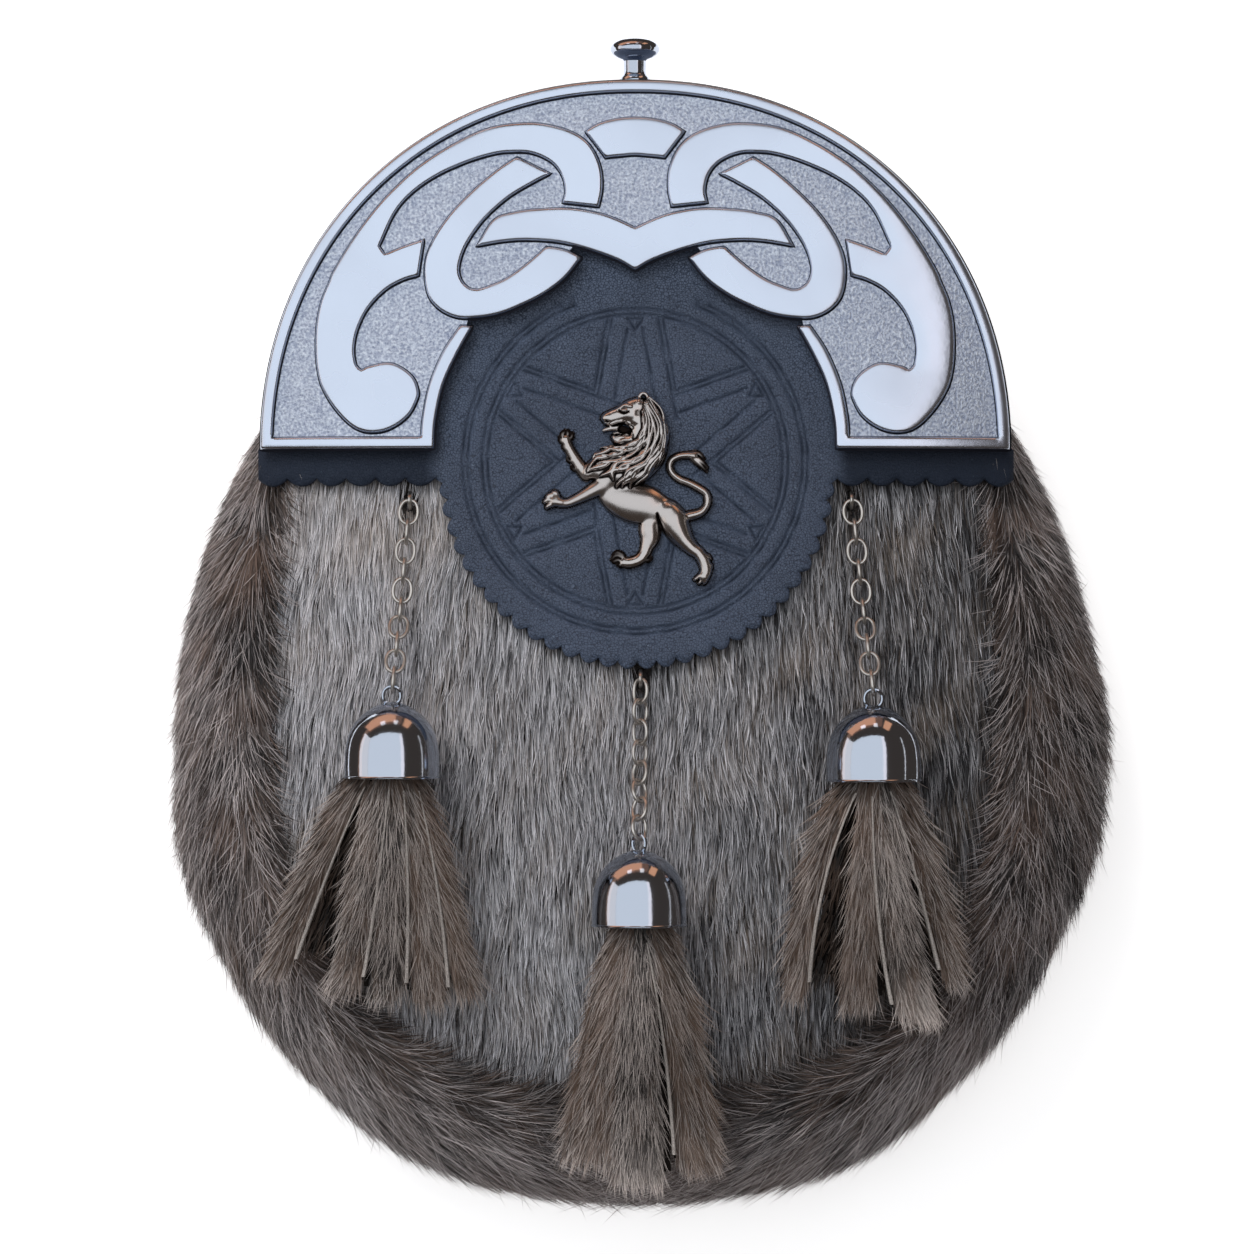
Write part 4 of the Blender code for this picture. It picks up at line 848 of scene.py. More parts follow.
def band_fur(name, keep, count, seed, guard):
    """Hairs rooted over the band; guard hairs are the few long pale ones over the rest."""
    draw = np.random.default_rng(seed)
    angle = np.interp(draw.uniform(0.0, 1.0, count), np.linspace(0, 1, len(stations)), stations)
    course = draw.beta(1.15, 1.5, count) * 0.93 + 0.01
    chosen = keep(seam_frame(angle)[0][:, 0])
    angle, course = angle[chosen], course[chosen]
    root = band_point(angle, course, SKIN_INSET)
    nudge = 0.01
    along = unit(band_point(angle + nudge, course, SKIN_INSET) - root)
    down = unit(band_point(angle, np.minimum(course + nudge, 1.0), SKIN_INSET) - root)
    normal = unit(np.cross(down, along))
    x, y, _ = root.T
    meeting = np.where(x + 7.0 * waves(y / 9.0, course * 3.0, seed + 1) < 1.5, 1.0, -1.0)
    low = ease(-y, 25.0, 95.0)
    inner = 1.0 - ease(course, 0.0, 0.24)
    some = len(x)
    high_lean, low_lean = -4.0 + 88.0 * course - 24.0 * inner, 42.0 * course - 26.0 * inner
    lean = np.radians(high_lean * (1.0 - low) + low_lean * low)
    lean += 0.16 * waves(x / 8.0, y / 10.0, seed + 2)
    lean += draw.normal(0.0, 0.28 if guard else 0.12, some) * (1.0 + inner)
    flow = along * (meeting * np.cos(lean))[:, None] + down * np.sin(lean)[:, None]
    length = draw.uniform(9.0, 15.0, some) * (1.15 if guard else 1.0) * (0.6 + 0.4 * ease(course, 0.0, 0.2))
    length *= 1.0 + 0.12 * ease(-y, 85.0, 100.0)
    width = draw.uniform(0.16, 0.24, some) if guard else draw.uniform(0.27, 0.46, some)
    patch = 0.05 * waves(x / 14.0, y / 20.0, 31) + 0.10 * waves(x / 3.0 + 9.0 * course, y / 5.0, 32, 12)
    tone = 0.050 + patch - 0.0004 * x
    # painted shade: darker at the inner lip where the band meets the coat; at the bottom the hair turns paler
    # further out
    tone += 0.075 * ease(course, 0.15, 0.5) - 0.12 * ease(0.14 - course, 0.0, 0.14)
    tone += ease(-y, 60.0, 92.0) * (0.26 * ease(course, 0.10, 0.34) - 0.16 * ease(0.2 - course, 0.0, 0.2))
    tone -= 0.03 * ease(y, 0.0, 25.0)
    tone = np.maximum(tone, 0.015) * np.exp(draw.normal(0.0, 1.1, some))
    warmth = 0.30 + 0.3 * waves(x / 11.0, y / 16.0, 33) + draw.normal(0.0, 0.15, some)
    if guard:
        # painted shade: guard hairs at the inner lip of the bottom are less pale
        tone += 0.6 - 0.3 * ease(-y, 60.0, 92.0) * ease(0.25 - course, 0.0, 0.2)
        warmth -= 0.3
    root = root + normal * draw.uniform(-0.3, 0.7, some)[:, None]
    hair(name, root, flow, normal, length, width, band_hair, "long_fur", tone, warmth, 4 if guard else 3,
         1.2 if guard else 0.8, draw.normal(0.0, 0.8, some), 0.5, seed + 3, over_hide)


for side, keep, seed in (("left", lambda x: x < 0.0, 41), ("right", lambda x: x >= 0.0, 51)):
    band_fur(f"band_fur_{side}", keep, BAND_HAIRS, seed, False)
    band_fur(f"band_guard_{side}", keep, GUARD_HAIRS, seed + 5, True)

# %% [markdown]
# ## Tabard
# A sheet of black leather lies over the hide: two wings under the cantle and a disc below it.  Its edge
# is pinked, and the disc is tooled with two double rings and a star of six V-shaped bands.  The tooling
# is cut into the mesh, because pressed lines that deep catch light from the side.

# %% Tabard outline and tooling

GAP = 0.3                       # between pieces that lie on each other
TABARD_THICKNESS = 1.8
TOOTH_DEPTH = 1.5
WING_X, DISC_TEETH, WING_TEETH = 75.8, 30, 6
CANTLE_X, CANTLE_Y, CANTLE_FOOT_Y = -0.2, 33.3, 34.4
CANTLE_HALF_WIDTH, CANTLE_RISE, CANTLE_POWER = 75.0, 74.9, 2.12
TABARD_INSET = 1.2
TOOL_X, TOOL_Y = -0.1, 31.85


def cantle_arc(inset, count=110):
    """Round edge of the cantle from right to left, moved in by an inset."""
    return superellipse(CANTLE_X, CANTLE_Y, CANTLE_HALF_WIDTH - inset, CANTLE_RISE - inset, CANTLE_POWER, 1.5,
                        178.5, count)


def scallops(count, steps=8):
    """Share along the edge, and the pinking's depth there: round teeth with sharp notches between."""
    u = np.linspace(0.0, count, count * steps + 1)
    return u / count, 1.0 - np.abs(np.sin(np.pi * u)) ** 0.75


disc_angle = math.asin((WING_TIP_Y + 1.0 - DISC_Y) / DISC_RADIUS)
disc_edge = DISC_RADIUS * math.cos(disc_angle)
share, notch = scallops(WING_TEETH)
wing = np.column_stack((WING_X + (disc_edge + 0.6 - WING_X) * share, WING_TIP_Y + TOOTH_DEPTH * notch))
share, notch = scallops(DISC_TEETH)
turn = math.pi - disc_angle + share * (math.pi + 2 * disc_angle)
radius = DISC_RADIUS - TOOTH_DEPTH * notch
disc = np.column_stack((DISC_X + radius * np.cos(turn), DISC_Y + radius * np.sin(turn)))
arc = cantle_arc(TABARD_INSET, 90)
tabard_outline = np.concatenate((wing * (-1.0, 1.0), disc[1:-1], wing[::-1], [(WING_X, CANTLE_FOOT_Y)], arc,
                                 [(-WING_X, CANTLE_FOOT_Y)]))

RING_RADII = (34.4, 33.4, 30.5, 29.4)
STAR_RADIUS, CELL_HALF_ANGLE, CELL_APEX = 29.0, math.radians(19.0), 16.3
LINE_STEP, BAND_STEP = 0.9, 4.3
# for each side of a cell: step aside, reach past the apex and stop before the ring of its three lines
STAR_STEPS = {1.0: ((0.0, 0.0, 0.2), (LINE_STEP, 5.2, 0.2), (BAND_STEP, 1.0, 2.6)),
              -1.0: ((0.0, 0.0, 0.2), (LINE_STEP, 0.4, 0.2), (BAND_STEP, -1.2, 2.6))}
STAR_TIP = np.array(((28.6, 1.5), (28.6, -1.5), (26.2, 0.0)))
TOOL_WIDTH, TOOL_DEPTH = 0.36, 0.34
TOOL_STEP, TOOL_REACH, TABARD_STEP = 0.28, 0.75, 1.2
TOOLED_RADIUS = 36.0


def turned(points, degrees):
    """Points of the plan turned about its origin."""
    c, s = math.cos(math.radians(degrees)), math.sin(math.radians(degrees))
    return points @ np.array(((c, s), (-s, c)))


def star_lines():
    """Straight tool lines of the star: a triangular cell every 60 degrees and the band round it."""
    lines = []
    apex = np.array((CELL_APEX, 0.0))
    for side, offsets in STAR_STEPS.items():
        corner = STAR_RADIUS * np.array((math.cos(CELL_HALF_ANGLE), side * math.sin(CELL_HALF_ANGLE)))
        run = unit(corner - apex)
        away = side * np.array((-run[1], run[0]))
        for step, reach, stop in offsets:
            first = apex + away * step - run * (reach + step * math.tan(math.radians(25.0)))
            ahead = float(first @ run)
            room = STAR_RADIUS ** 2 - float(first @ first) + ahead ** 2
            last = first + run * (math.sqrt(room) - ahead - stop)
            lines += [turned(np.array((first, last)), 60.0 * cell) for cell in range(6)]
    for cell in range(6):
        corners = turned(STAR_TIP, 60.0 * cell + 30.0)
        lines += list(np.stack((corners, np.roll(corners, -1, axis=0)), 1))
    return np.array(lines).transpose(1, 0, 2)


star_starts, star_ends = star_lines()


def tool_distance(xy):
    """Distance to the nearest tool line, straight or round."""
    local = xy - (TOOL_X, TOOL_Y)
    ring = np.min([np.abs(np.hypot(*local.T) - r) for r in RING_RADII], 0)
    return np.minimum(run_distance(local, star_starts, star_ends), ring)


def tooling(xy):
    """Height of the pressed pattern, round grooves and swollen cells, and the groove's share."""
    local = xy - (TOOL_X, TOOL_Y)
    radius = np.hypot(*local.T)
    groove = np.exp(-(tool_distance(xy) / TOOL_WIDTH) ** 2)
    angle = np.degrees(np.arctan2(local[:, 1], local[:, 0]))
    off = np.abs((angle + 30.0) % 60.0 - 30.0)
    cell = ease(radius, 17.0, 22.0) * ease(-radius, -29.0, -26.0) * ease(-off, -17.0, -9.0)
    fade = ease(-radius, -TOOLED_RADIUS, 0.8 - TOOLED_RADIUS)
    return (-TOOL_DEPTH * groove + 0.25 * cell) * fade, groove * (radius < TOOLED_RADIUS)


loose = scatter_grid(tabard_outline, TABARD_STEP, 0.9)
loose = loose[tool_distance(loose) > TOOL_REACH + 0.3]
fine = scatter_grid(superellipse(TOOL_X, TOOL_Y, 35.4, 35.4, 2.0, 0.0, 357.0, 120), TOOL_STEP, 0.0)
fine = fine[(tool_distance(fine) < TOOL_REACH) & (fine[:, 1] < 63.0) & inside(fine, tabard_outline)]
fine = fine[rim_distance(fine, tabard_outline) > 0.5]
loose = np.concatenate((loose, fine, inset_points(tabard_outline, 0.35)))


def tabard_top(xy):
    """Leather's height, with a soft edge and the tooling."""
    near = np.minimum(rim_distance(xy, tabard_outline) / 0.5, 1.0)
    return front(*xy.T) + GAP + TABARD_THICKNESS - 0.35 * (1.0 - near) ** 2 + tooling(xy)[0]


def tabard_under(xy):
    return front(*xy.T) + GAP


points, faces = shell(tabard_outline, loose, tabard_top, tabard_under, scatter_grid(tabard_outline, 5.0, 2.5))
tabard = piece("tabard_leather", points, faces, black_leather, "black_leather", ["tabard"], 60.0)
x, y = points[:, 0], points[:, 1]
burnish = tooling(points[:, :2])[1] ** 2 * np.clip(0.5 + 0.3 * waves(x / 6.0, y / 6.0, 21), 0.1, 0.8)
# painted shade: the wings, under the cantle's edge, are darker and duller through the groove value
wings = 0.76 * ease(np.abs(x - DISC_X), DISC_RADIUS - 1.0, DISC_RADIUS + 3.0)
point_value(tabard, "groove", np.maximum(burnish, wings))

# %% [markdown]
# ## Cantle
# The cantle is one steel casting: a blasted plate, a polished border and polished ribbons of knotwork
# that seem to pass over and under each other.  Each ribbon is an outline with a soft shoulder, and a
# narrow dark skirt lies round it where the tarnish was left in the corner; on the lower right side the
# skirt is wider, as painted shadow.

# %% Ribbons and border

UNDER_CANTLE = GAP + TABARD_THICKNESS + 1.0
PLATE_TOP = UNDER_CANTLE + 1.4
RIBBON_RISE = 1.2
RIM_WIDTH = 2.4
CANTLE_BASE = np.array((CANTLE_X, 34.2))     # middle of the cantle's foot, from which the ribbons are drawn
# left half of each ribbon: outer edge x, y, inner edge x, y, from the cantle's middle line
BIG_CURL = (
    (-7.2, 48.4, -14.5, 49.2), (-6.5, 52.1, -14.0, 51.7), (-6.8, 56.3, -14.6, 54.6),
    (-8.6, 60.4, -16.2, 56.9), (-11.5, 63.0, -18.5, 58.4), (-15.9, 64.7, -21.3, 59.3),
    (-21.3, 65.4, -24.4, 59.4), (-28.9, 64.5, -27.7, 59.1), (-35.8, 61.5, -32.7, 57.7),
    (-42.8, 57.1, -38.8, 55.1), (-48.2, 52.3, -44.0, 51.7), (-52.3, 47.8, -47.8, 47.5),
    (-56.3, 42.4, -51.0, 40.7), (-60.1, 36.2, -49.9, 39.2), (-61.1, 33.8, -46.2, 40.7),
    (-61.9, 32.0, -42.0, 42.1), (-62.6, 30.2, -43.1, 34.7), (-63.2, 27.9, -46.2, 33.8),
    (-63.6, 25.5, -49.8, 31.8), (-63.8, 22.9, -53.3, 28.1), (-63.8, 19.9, -55.4, 23.7),
    (-63.5, 16.3, -56.0, 19.9), (-62.5, 12.5, -55.5, 16.9), (-59.9, 8.2, -54.5, 16.0),
    (-56.3, 4.6, -53.1, 16.7), (-52.7, 3.4, -49.2, 17.4), (-48.8, 4.1, -46.4, 16.4),
    (-45.2, 6.6, -44.1, 14.4), (-43.3, 10.0, -43.1, 11.9),
)
LOOP = (
    (-23.6, 58.6, -16.7, 55.1), (-27.7, 55.8, -20.0, 53.4), (-32.7, 51.5, -25.3, 50.2),
    (-37.2, 46.7, -30.2, 45.7), (-40.6, 41.4, -33.6, 40.8), (-42.0, 36.6, -35.0, 36.6),
    (-41.4, 31.2, -34.6, 34.0), (-39.2, 28.1, -33.3, 32.5), (-35.6, 26.3, -31.5, 32.0),
    (-31.6, 26.2, -29.1, 32.7), (-26.9, 27.0, -26.0, 34.0), (-22.1, 28.9, -23.0, 36.0),
    (-17.9, 31.1, -20.2, 38.3), (-13.9, 34.2, -17.7, 40.6), (-10.6, 38.3, -13.9, 39.9),
)
CHEVRON = (
    (-28.3, 45.9, -31.7, 40.5), (-23.8, 47.5, -26.4, 41.4), (-18.8, 48.1, -21.3, 41.7),
    (-12.9, 48.2, -14.9, 41.2), (-7.4, 47.3, -9.0, 39.7), (-3.6, 46.0, -3.5, 37.7), (0.0, 44.3, 0.0, 35.7),
)
CROWN = (
    (-10.0, 63.6, -5.9, 58.2), (-7.4, 65.2, -4.8, 58.4), (-3.8, 66.2, -2.6, 58.6), (0.0, 66.5, 0.0, 58.8),
)
LEG = (
    (-32.3, 24.6, -34.8, 24.9), (-35.5, 18.8, -38.2, 19.7), (-38.2, 12.7, -41.0, 13.0),
    (-39.7, 5.7, -42.3, 6.6), (-40.0, 0.2, -42.6, 2.6),
)
PLATE_INNER = (
    (-41.0, 0.2), (-40.9, 5.8), (-39.5, 12.7), (-36.7, 18.9), (-33.6, 24.7), (-32.5, 28.2), (-27.3, 29.2),
    (-22.5, 31.2), (-18.6, 33.6), (-15.2, 36.6), (-12.6, 40.2), (-9.0, 42.6), (-4.0, 41.4), (0.0, 39.6),
)
MIRROR = (-1.0, 1.0)


def mirrored(points):
    """Points on the other side of the cantle's middle line, in reverse order."""
    return (points * MIRROR + (2 * CANTLE_X, 0.0))[::-1]


def ribbon_outlines(rows, through_middle):
    """Outline of a ribbon and of its mirror image, or of one that runs across the middle line."""
    rows = np.array(rows)
    if through_middle:
        rows = np.concatenate((rows, (rows[:-1] * (MIRROR + MIRROR))[::-1]))
    loop = np.concatenate((rows[:, :2], rows[::-1, 2:])) + CANTLE_BASE
    return [loop] if through_middle else [loop, mirrored(loop)]


def border_outline():
    """The border's one closed outline: round the outside, up the legs, and back round the inside."""
    leg = np.array(LEG)
    foot = CANTLE_X - CANTLE_HALF_WIDTH + 0.05
    outer = np.vstack((leg[:, :2] + CANTLE_BASE, (foot, CANTLE_FOOT_Y)))
    inner = np.vstack((leg[:, 2:] + CANTLE_BASE, (foot + RIM_WIDTH, CANTLE_FOOT_Y + RIM_WIDTH)))
    return np.concatenate((outer, cantle_arc(0.0)[::-1][1:-1], mirrored(outer), mirrored(inner)[::-1],
                           cantle_arc(RIM_WIDTH)[1:-1], inner[::-1]))


SHOULDER, CROWN_WIDTH, CROWN_RISE, SKIRT = 0.55, 3.2, 0.22, 0.5
RIBBON_STEP = 0.6


def ribbon(outline):
    """Points, faces and recess values of a raised ribbon standing on the plate.

    Height over the plate is rise x sqrt(1 - (1 - d / shoulder)^2) up to the shoulder's width, and a
    slow swell of the same kind further in, where d is the distance to the outline.
    """
    edge = rounded(outline, RIBBON_STEP)
    insets = [inset_points(edge, d) for d in (0.12, 0.3, SHOULDER, 1.1)]
    loose = np.concatenate(insets + [scatter_grid(edge, 1.3, 1.5)])

    def height(xy):
        d = rim_distance(xy, edge)
        shoulder, swell = (np.sqrt(np.clip(1.0 - (1.0 - np.minimum(d / width, 1.0)) ** 2, 0.0, 1.0))
                           for width in (SHOULDER, CROWN_WIDTH))
        rise = (RIBBON_RISE - CROWN_RISE) * (0.35 + 0.65 * shoulder) + CROWN_RISE * swell
        return front(*xy.T) + PLATE_TOP + rise

    points, faces = shell(edge, loose, height, lambda xy: front(*xy.T) + PLATE_TOP - 0.3)
    lift = points[:, 2] - front(*points[:, :2].T) - PLATE_TOP
    return points, faces, 1.0 - np.clip(lift / 0.9, 0.0, 1.0)


def skirt(outline):
    """Dark fillet on the plate round a ribbon, inner edge under it and outer free: tarnish, wider to the
    lower right as painted shadow.
    """
    edge = rounded(outline, RIBBON_STEP)
    away = outward(edge)
    # painted shadow: the skirt is widest on the side facing down and to the right
    deep = SKIRT * (0.62 + 0.38 * np.clip(away @ (0.45, -0.89), -1.0, 1.0))[:, None]
    grid = np.stack([on_front(edge + away * out, PLATE_TOP + lift) for out, lift in
                     ((-0.15, 0.22), (0.5 * deep, 0.05), (deep, -0.04), (-0.15, -0.2))])
    faces = grid_faces(4, len(edge), wrap_rows=True, wrap_columns=True)[:, ::int(winding(edge))]
    return grid.reshape(-1, 3), faces.tolist(), np.repeat((1.0, 1.0, 0.8, 1.0), len(edge))


def joined(name, parts, material, slot, replaces=(), sharp=50.0):
    """One piece from several (points, faces, recess) parts."""
    points, faces, values, count = [], [], [], 0
    for part_points, part_faces, recess in parts:
        faces += [[i + count for i in face] for face in part_faces]
        count += len(part_points)
        points.append(part_points)
        values.append(np.broadcast_to(recess, len(part_points)))
    made = piece(name, np.concatenate(points), faces, material, slot, replaces, sharp)
    point_value(made, "recess", np.concatenate(values))


outlines = [border_outline()]
for rows, middle in ((BIG_CURL, False), (LOOP, False), (CHEVRON, True), (CROWN, True)):
    outlines += ribbon_outlines(rows, middle)
joined("cantle_ribbons", [ribbon(o) for o in outlines], steel, "cast_steel")
joined("cantle_skirts", [skirt(o) for o in outlines], steel, "cast_steel")

# %% Plate

left = catmull(PLATE_INNER, 4) + CANTLE_BASE
inner_edge = np.concatenate((left, mirrored(left)[1:]))
foot = CANTLE_HALF_WIDTH - 0.4
plate_outline = np.concatenate(([(CANTLE_X - foot, CANTLE_FOOT_Y + 0.3)], inner_edge,
                                [(CANTLE_X + foot, CANTLE_FOOT_Y + 0.3)], cantle_arc(0.4)))
loose = scatter_grid(plate_outline, 1.5, 0.8)
points, faces = shell(plate_outline, loose, lambda xy: front(*xy.T) + PLATE_TOP,
                      lambda xy: front(*xy.T) + UNDER_CANTLE, scatter_grid(plate_outline, 6.0, 2.0))
joined("cantle_plate", [(points, faces, 0.0)], blasted, "cast_steel", ["cantle"])

# %% [markdown]
# ## Knob, bells and chains
# Turned metal is a profile carried round an axis.  The bells are hollow domes with a bead at the mouth,
# and the chains are single oval links, each hooked through the next with its face turned a quarter.

# %% Turned pieces


def revolve(profile, sides, centre):
    """Profile rows (distance along +Y, radius) turned about the Y axis through a centre."""
    profile = np.asarray(profile, float)
    c, s = circle(sides)
    ring = np.stack((c, np.zeros(sides), s), 1)
    grid = profile[:, None, 1:] * ring[None] + profile[:, None, :1] * np.array((0.0, 1.0, 0.0))
    points = np.concatenate((grid.reshape(-1, 3), [(0, profile[0, 0], 0), (0, profile[-1, 0], 0)])) + centre
    faces = grid_faces(len(profile), sides, wrap_columns=True).tolist()
    last = len(profile) * sides
    around = np.arange(sides)
    after = (around + 1) % sides
    faces += np.column_stack((np.full(sides, last), around, after)).tolist()
    top = last - sides
    faces += np.column_stack((top + after, top + around, np.full(sides, last + 1))).tolist()
    return points, faces


def wire_ring(path, radius, up, sides=8):
    """Round wire along a closed path: circles in the plane of the path's normal and its own second normal."""
    heading = unit(np.roll(path, -1, 0) - np.roll(path, 1, 0))
    first = unit(np.cross(heading, up))
    second = np.cross(heading, first)
    c, s = circle(sides)
    ring = first[:, None] * c[:, None] + second[:, None] * s[:, None]
    faces = grid_faces(len(path), sides, wrap_rows=True, wrap_columns=True)[:, ::-1].tolist()
    return (path[:, None] + ring * radius).reshape(-1, 3), faces


TURNED_SIDES = 64
KNOB_Z = 24.0
KNOB_SEAT = BODY_Y + SEAM_UPPER + 2.8 + GAP
KNOB_PROFILE = (                # distance along the stud, radius
    (-4.6, 0.05), (-4.9, 2.6), (-4.6, 3.0), (-3.6, 3.0), (-3.4, 2.7), (-3.4, 1.6), (-3.2, 1.5), (0.0, 1.5),
    (0.05, 3.05), (0.2, 3.2), (2.3, 3.2), (2.8, 3.05), (3.3, 2.6), (3.7, 2.33), (4.2, 2.28), (6.3, 2.3),
    (6.6, 2.6), (6.9, 3.6), (7.5, 4.5), (8.2, 5.0), (8.9, 5.1), (9.6, 4.8), (10.3, 3.9), (10.75, 2.6),
    (10.9, 0.9), (10.92, 0.05),
)
points, faces = revolve(KNOB_PROFILE, TURNED_SIDES, (CANTLE_X, KNOB_SEAT, KNOB_Z))
joined("clasp_stud", [(points, faces, 0.0)], dark_chrome, "dark_chrome", ["clasp_knob"], 35.0)

# %% Bells

BELL_HEIGHT, BELL_LIFT, BELL_WALL = 15.2, 11.0, 0.8
EYE_RADIUS, EYE_SINK = 1.75, 0.6
BELL_SHAPE = (
    (0.55, 9.38), (2.5, 9.42), (4.5, 9.35), (6.5, 9.15), (8.2, 8.75), (9.8, 8.1), (11.2, 7.2), (12.4, 6.1),
    (13.4, 4.85), (14.2, 3.5), (14.8, 2.0), (15.05, 0.9), (15.15, 0.05),
)


def bell_axis(mouth):
    """Height of a bell's axis over the table."""
    return float(front(mouth[0], mouth[1] + BELL_HEIGHT / 2)) + BELL_LIFT


def eye_y(mouth):
    """Place along the pouch of the middle of a bell's eye."""
    return mouth[1] + BELL_HEIGHT + EYE_RADIUS - EYE_SINK


outer = catmull(BELL_SHAPE, 5)
inner = outer[::-4] - BELL_WALL * ease(outer[::-4, :1], 4.0, 15.0) * (1.0, 0.0)
inner[:, 1] = np.maximum(inner[:, 1] - BELL_WALL, 0.05)
bead = np.array(((0.3, 8.62), (0.08, 8.75), (0.0, 8.95), (0.0, 9.3), (0.08, 9.5), (0.25, 9.56), (0.42, 9.5)))
bell_profile = np.concatenate((inner, bead, outer))


def rotated(heading, degrees):
    """The upward direction turned about a heading: the way that a link's face looks."""
    axis = unit(np.asarray(heading, float))
    up = np.array((0.0, 0.0, 1.0))
    turn = math.radians(degrees)
    return (up * math.cos(turn) + np.cross(axis, up) * math.sin(turn)
            + axis * float(axis @ up) * (1.0 - math.cos(turn)))


LINK_LENGTH, LINK_WIDTH, LINK_WIRE = 5.6, 4.4, 0.74
EYE_SLACK, LINK_LIFT = 0.8, (1.9, 2.5)
ANCHOR_LENGTH, ANCHOR_WIDTH, ANCHOR_SINK = 7.6, 4.0, 0.6
ANCHOR_BAR = ((-4.5, 0.05), (-4.5, 0.7), (-4.3, 0.9), (4.3, 0.9), (4.5, 0.7), (4.5, 0.05))


def oval(centre, heading, face, length, width):
    """Closed wire ring, its long way along the heading and its plane square to the face direction."""
    x = unit(np.asarray(heading, float))
    y = unit(np.cross(face, x))
    along, across = ((size - LINK_WIRE) / 2 * np.sign(v) * np.abs(v) ** 0.92
                     for size, v in zip((length, width), circle(28)))
    path = np.asarray(centre) + along[:, None] * x + across[:, None] * y
    return wire_ring(path, LINK_WIRE / 2, np.cross(x, y))


def link_places(hole, mouth, links):
    """Centres and headings of a chain's links on a line that lies on the hide and rises to the bell."""
    t = np.linspace(0.0, 1.0, 400)
    x, y = hole[0] + t * (mouth[0] - hole[0]), hole[1] + t * (eye_y(mouth) - hole[1])
    resting = front(x, y) + LINK_LIFT[0] + (LINK_LIFT[1] - LINK_LIFT[0]) * ease(t, 0.0, 0.15)
    path = np.column_stack((x, y, resting + ease(t, 0.45, 1.0) * (bell_axis(mouth) - resting)))
    run = run_length(path)
    reach = (LINK_LENGTH - LINK_WIRE) / 2
    for distance in np.linspace(reach, run[-1] - EYE_SLACK - reach, links):
        centre, before, after = (np.array([np.interp(distance + d, run, path[:, k]) for k in range(3)])
                                 for d in (0.0, -reach, reach))
        yield centre, after - before


for side, (hole, mouth, links, roll) in CHAINS.items():
    height = bell_axis(mouth)
    down, eye_size = (0.0, -1.0, 0.0), 2 * EYE_RADIUS + LINK_WIRE
    eye = oval((mouth[0], eye_y(mouth), height), down, rotated(down, roll + 90.0 * links), eye_size, eye_size)
    dome = revolve(bell_profile, TURNED_SIDES, (*mouth, height))
    joined(f"bell_dome_{side}", [(*dome, 0.0), (*eye, 0.2)], dark_chrome, "dark_chrome", [f"bell_{side}"],
           35.0)
    rings = [(*oval(centre, heading, rotated(heading, roll + 90.0 * i), LINK_LENGTH, LINK_WIDTH), 0.1)
             for i, (centre, heading) in enumerate(link_places(hole, mouth, links))]
    joined(f"chain_links_{side}", rings, wire_metal, "pewter_wire",
           [f"chain_{side}_link_{i + 1:02d}" for i in range(links)], 180.0)
    surface = float(front(*hole))
    loop = oval((*hole, surface - ANCHOR_SINK), (0, 0, 1), (1, 0, 0), ANCHOR_LENGTH, ANCHOR_WIDTH)
    bar = revolve(ANCHOR_BAR, 20, (*hole, surface - 4.5))
    joined(f"chain_anchor_{side}", [(*loop, 0.1), (*bar, 0.1)], wire_metal, "pewter_wire",
           [f"anchor_{side}"], 40.0)

# %% [markdown]
# ## Tassels
# A tassel is a bunch of fur strips: narrow cuts of the pelt, whose skin shows as a pale line along the
# cut.  The strips start together in the bell and fan out over the hide, and a second layer, its hair
# painted dark as the shade in the gaps, lies under the gaps of the first.  Beside the cuts the near-black
# pelt shows as painted shade.  Short dark hair covers a strip, and long pale guard hairs run over it.

# %% Strips of pelt

Strip = namedtuple("Strip", "across down half lift tone warmth pale cut bow")
STRIP_HAIRS, STRIP_GUARDS, UNDER_HAIRS = 2100, 760, 420      # for this length times (half width + 1):
STRIP_UNIT = 200.0
# across and down to the tip, half width there, lift, hair's tone and warmth, how much paler the tip is,
# side of the free cut (-1, 0 for none, or 1), bow
STRIPS = {
    "left": ((-22.7, 37.5, 2.9, 0.5, 0.22, 0.7, 0.0, 1, 0.0),
             (-10.0, 41.0, 3.8, 0.25, 0.27, 0.5, 0.1, 1, 0.8),
             (-1.8, 42.2, 4.3, 0.0, 0.21, 0.15, 0.0, 1, 0.8),
             (6.8, 43.0, 4.2, -0.3, 0.17, 0.7, 0.0, 1, 0.8),
             (13.6, 41.5, 2.4, -0.6, 0.15, 0.9, 0.0, 0, 0.0)),
    "right": ((-14.4, 41.3, 2.0, 0.4, 0.17, 0.8, 0.1, 1, -2.2),
              (-2.6, 43.5, 4.8, -0.4, 0.15, 0.9, 0.12, 0, 0.0),
              (9.2, 46.0, 5.0, 0.4, 0.36, 0.35, 0.4, -1, -1.6),
              (16.0, 39.0, 2.3, 0.1, 0.16, 0.7, 0.0, -1, 0.0)),
    "centre": ((-9.5, 46.0, 5.4, 0.0, 0.26, 0.8, 0.2, 0, 0.0),
               (0.6, 50.0, 5.8, 0.5, 0.36, 0.0, 0.25, 0, 0.0),
               (11.2, 47.5, 4.2, -0.2, 0.20, 0.8, 0.1, -1, 0.8)),
}
STRIPS = {side: [Strip(*row) for row in rows] for side, rows in STRIPS.items()}
HEAD_RADIUS, TIP_THICKNESS, REST_LEVEL = 5.6, 7.2, 37.6
SKIN, MOUTH_SPREAD, STRIP_MOUTH_HALF_WIDTH, STRIP_INSIDE = 0.9, 0.2, 2.4, 3.0
CUT_SECTION = np.array(((-1.0, 1.2), (-0.5, 1.5), (0.5, 1.5), (1.0, 1.2), (1.0, -1.0), (-1.0, -1.0)))


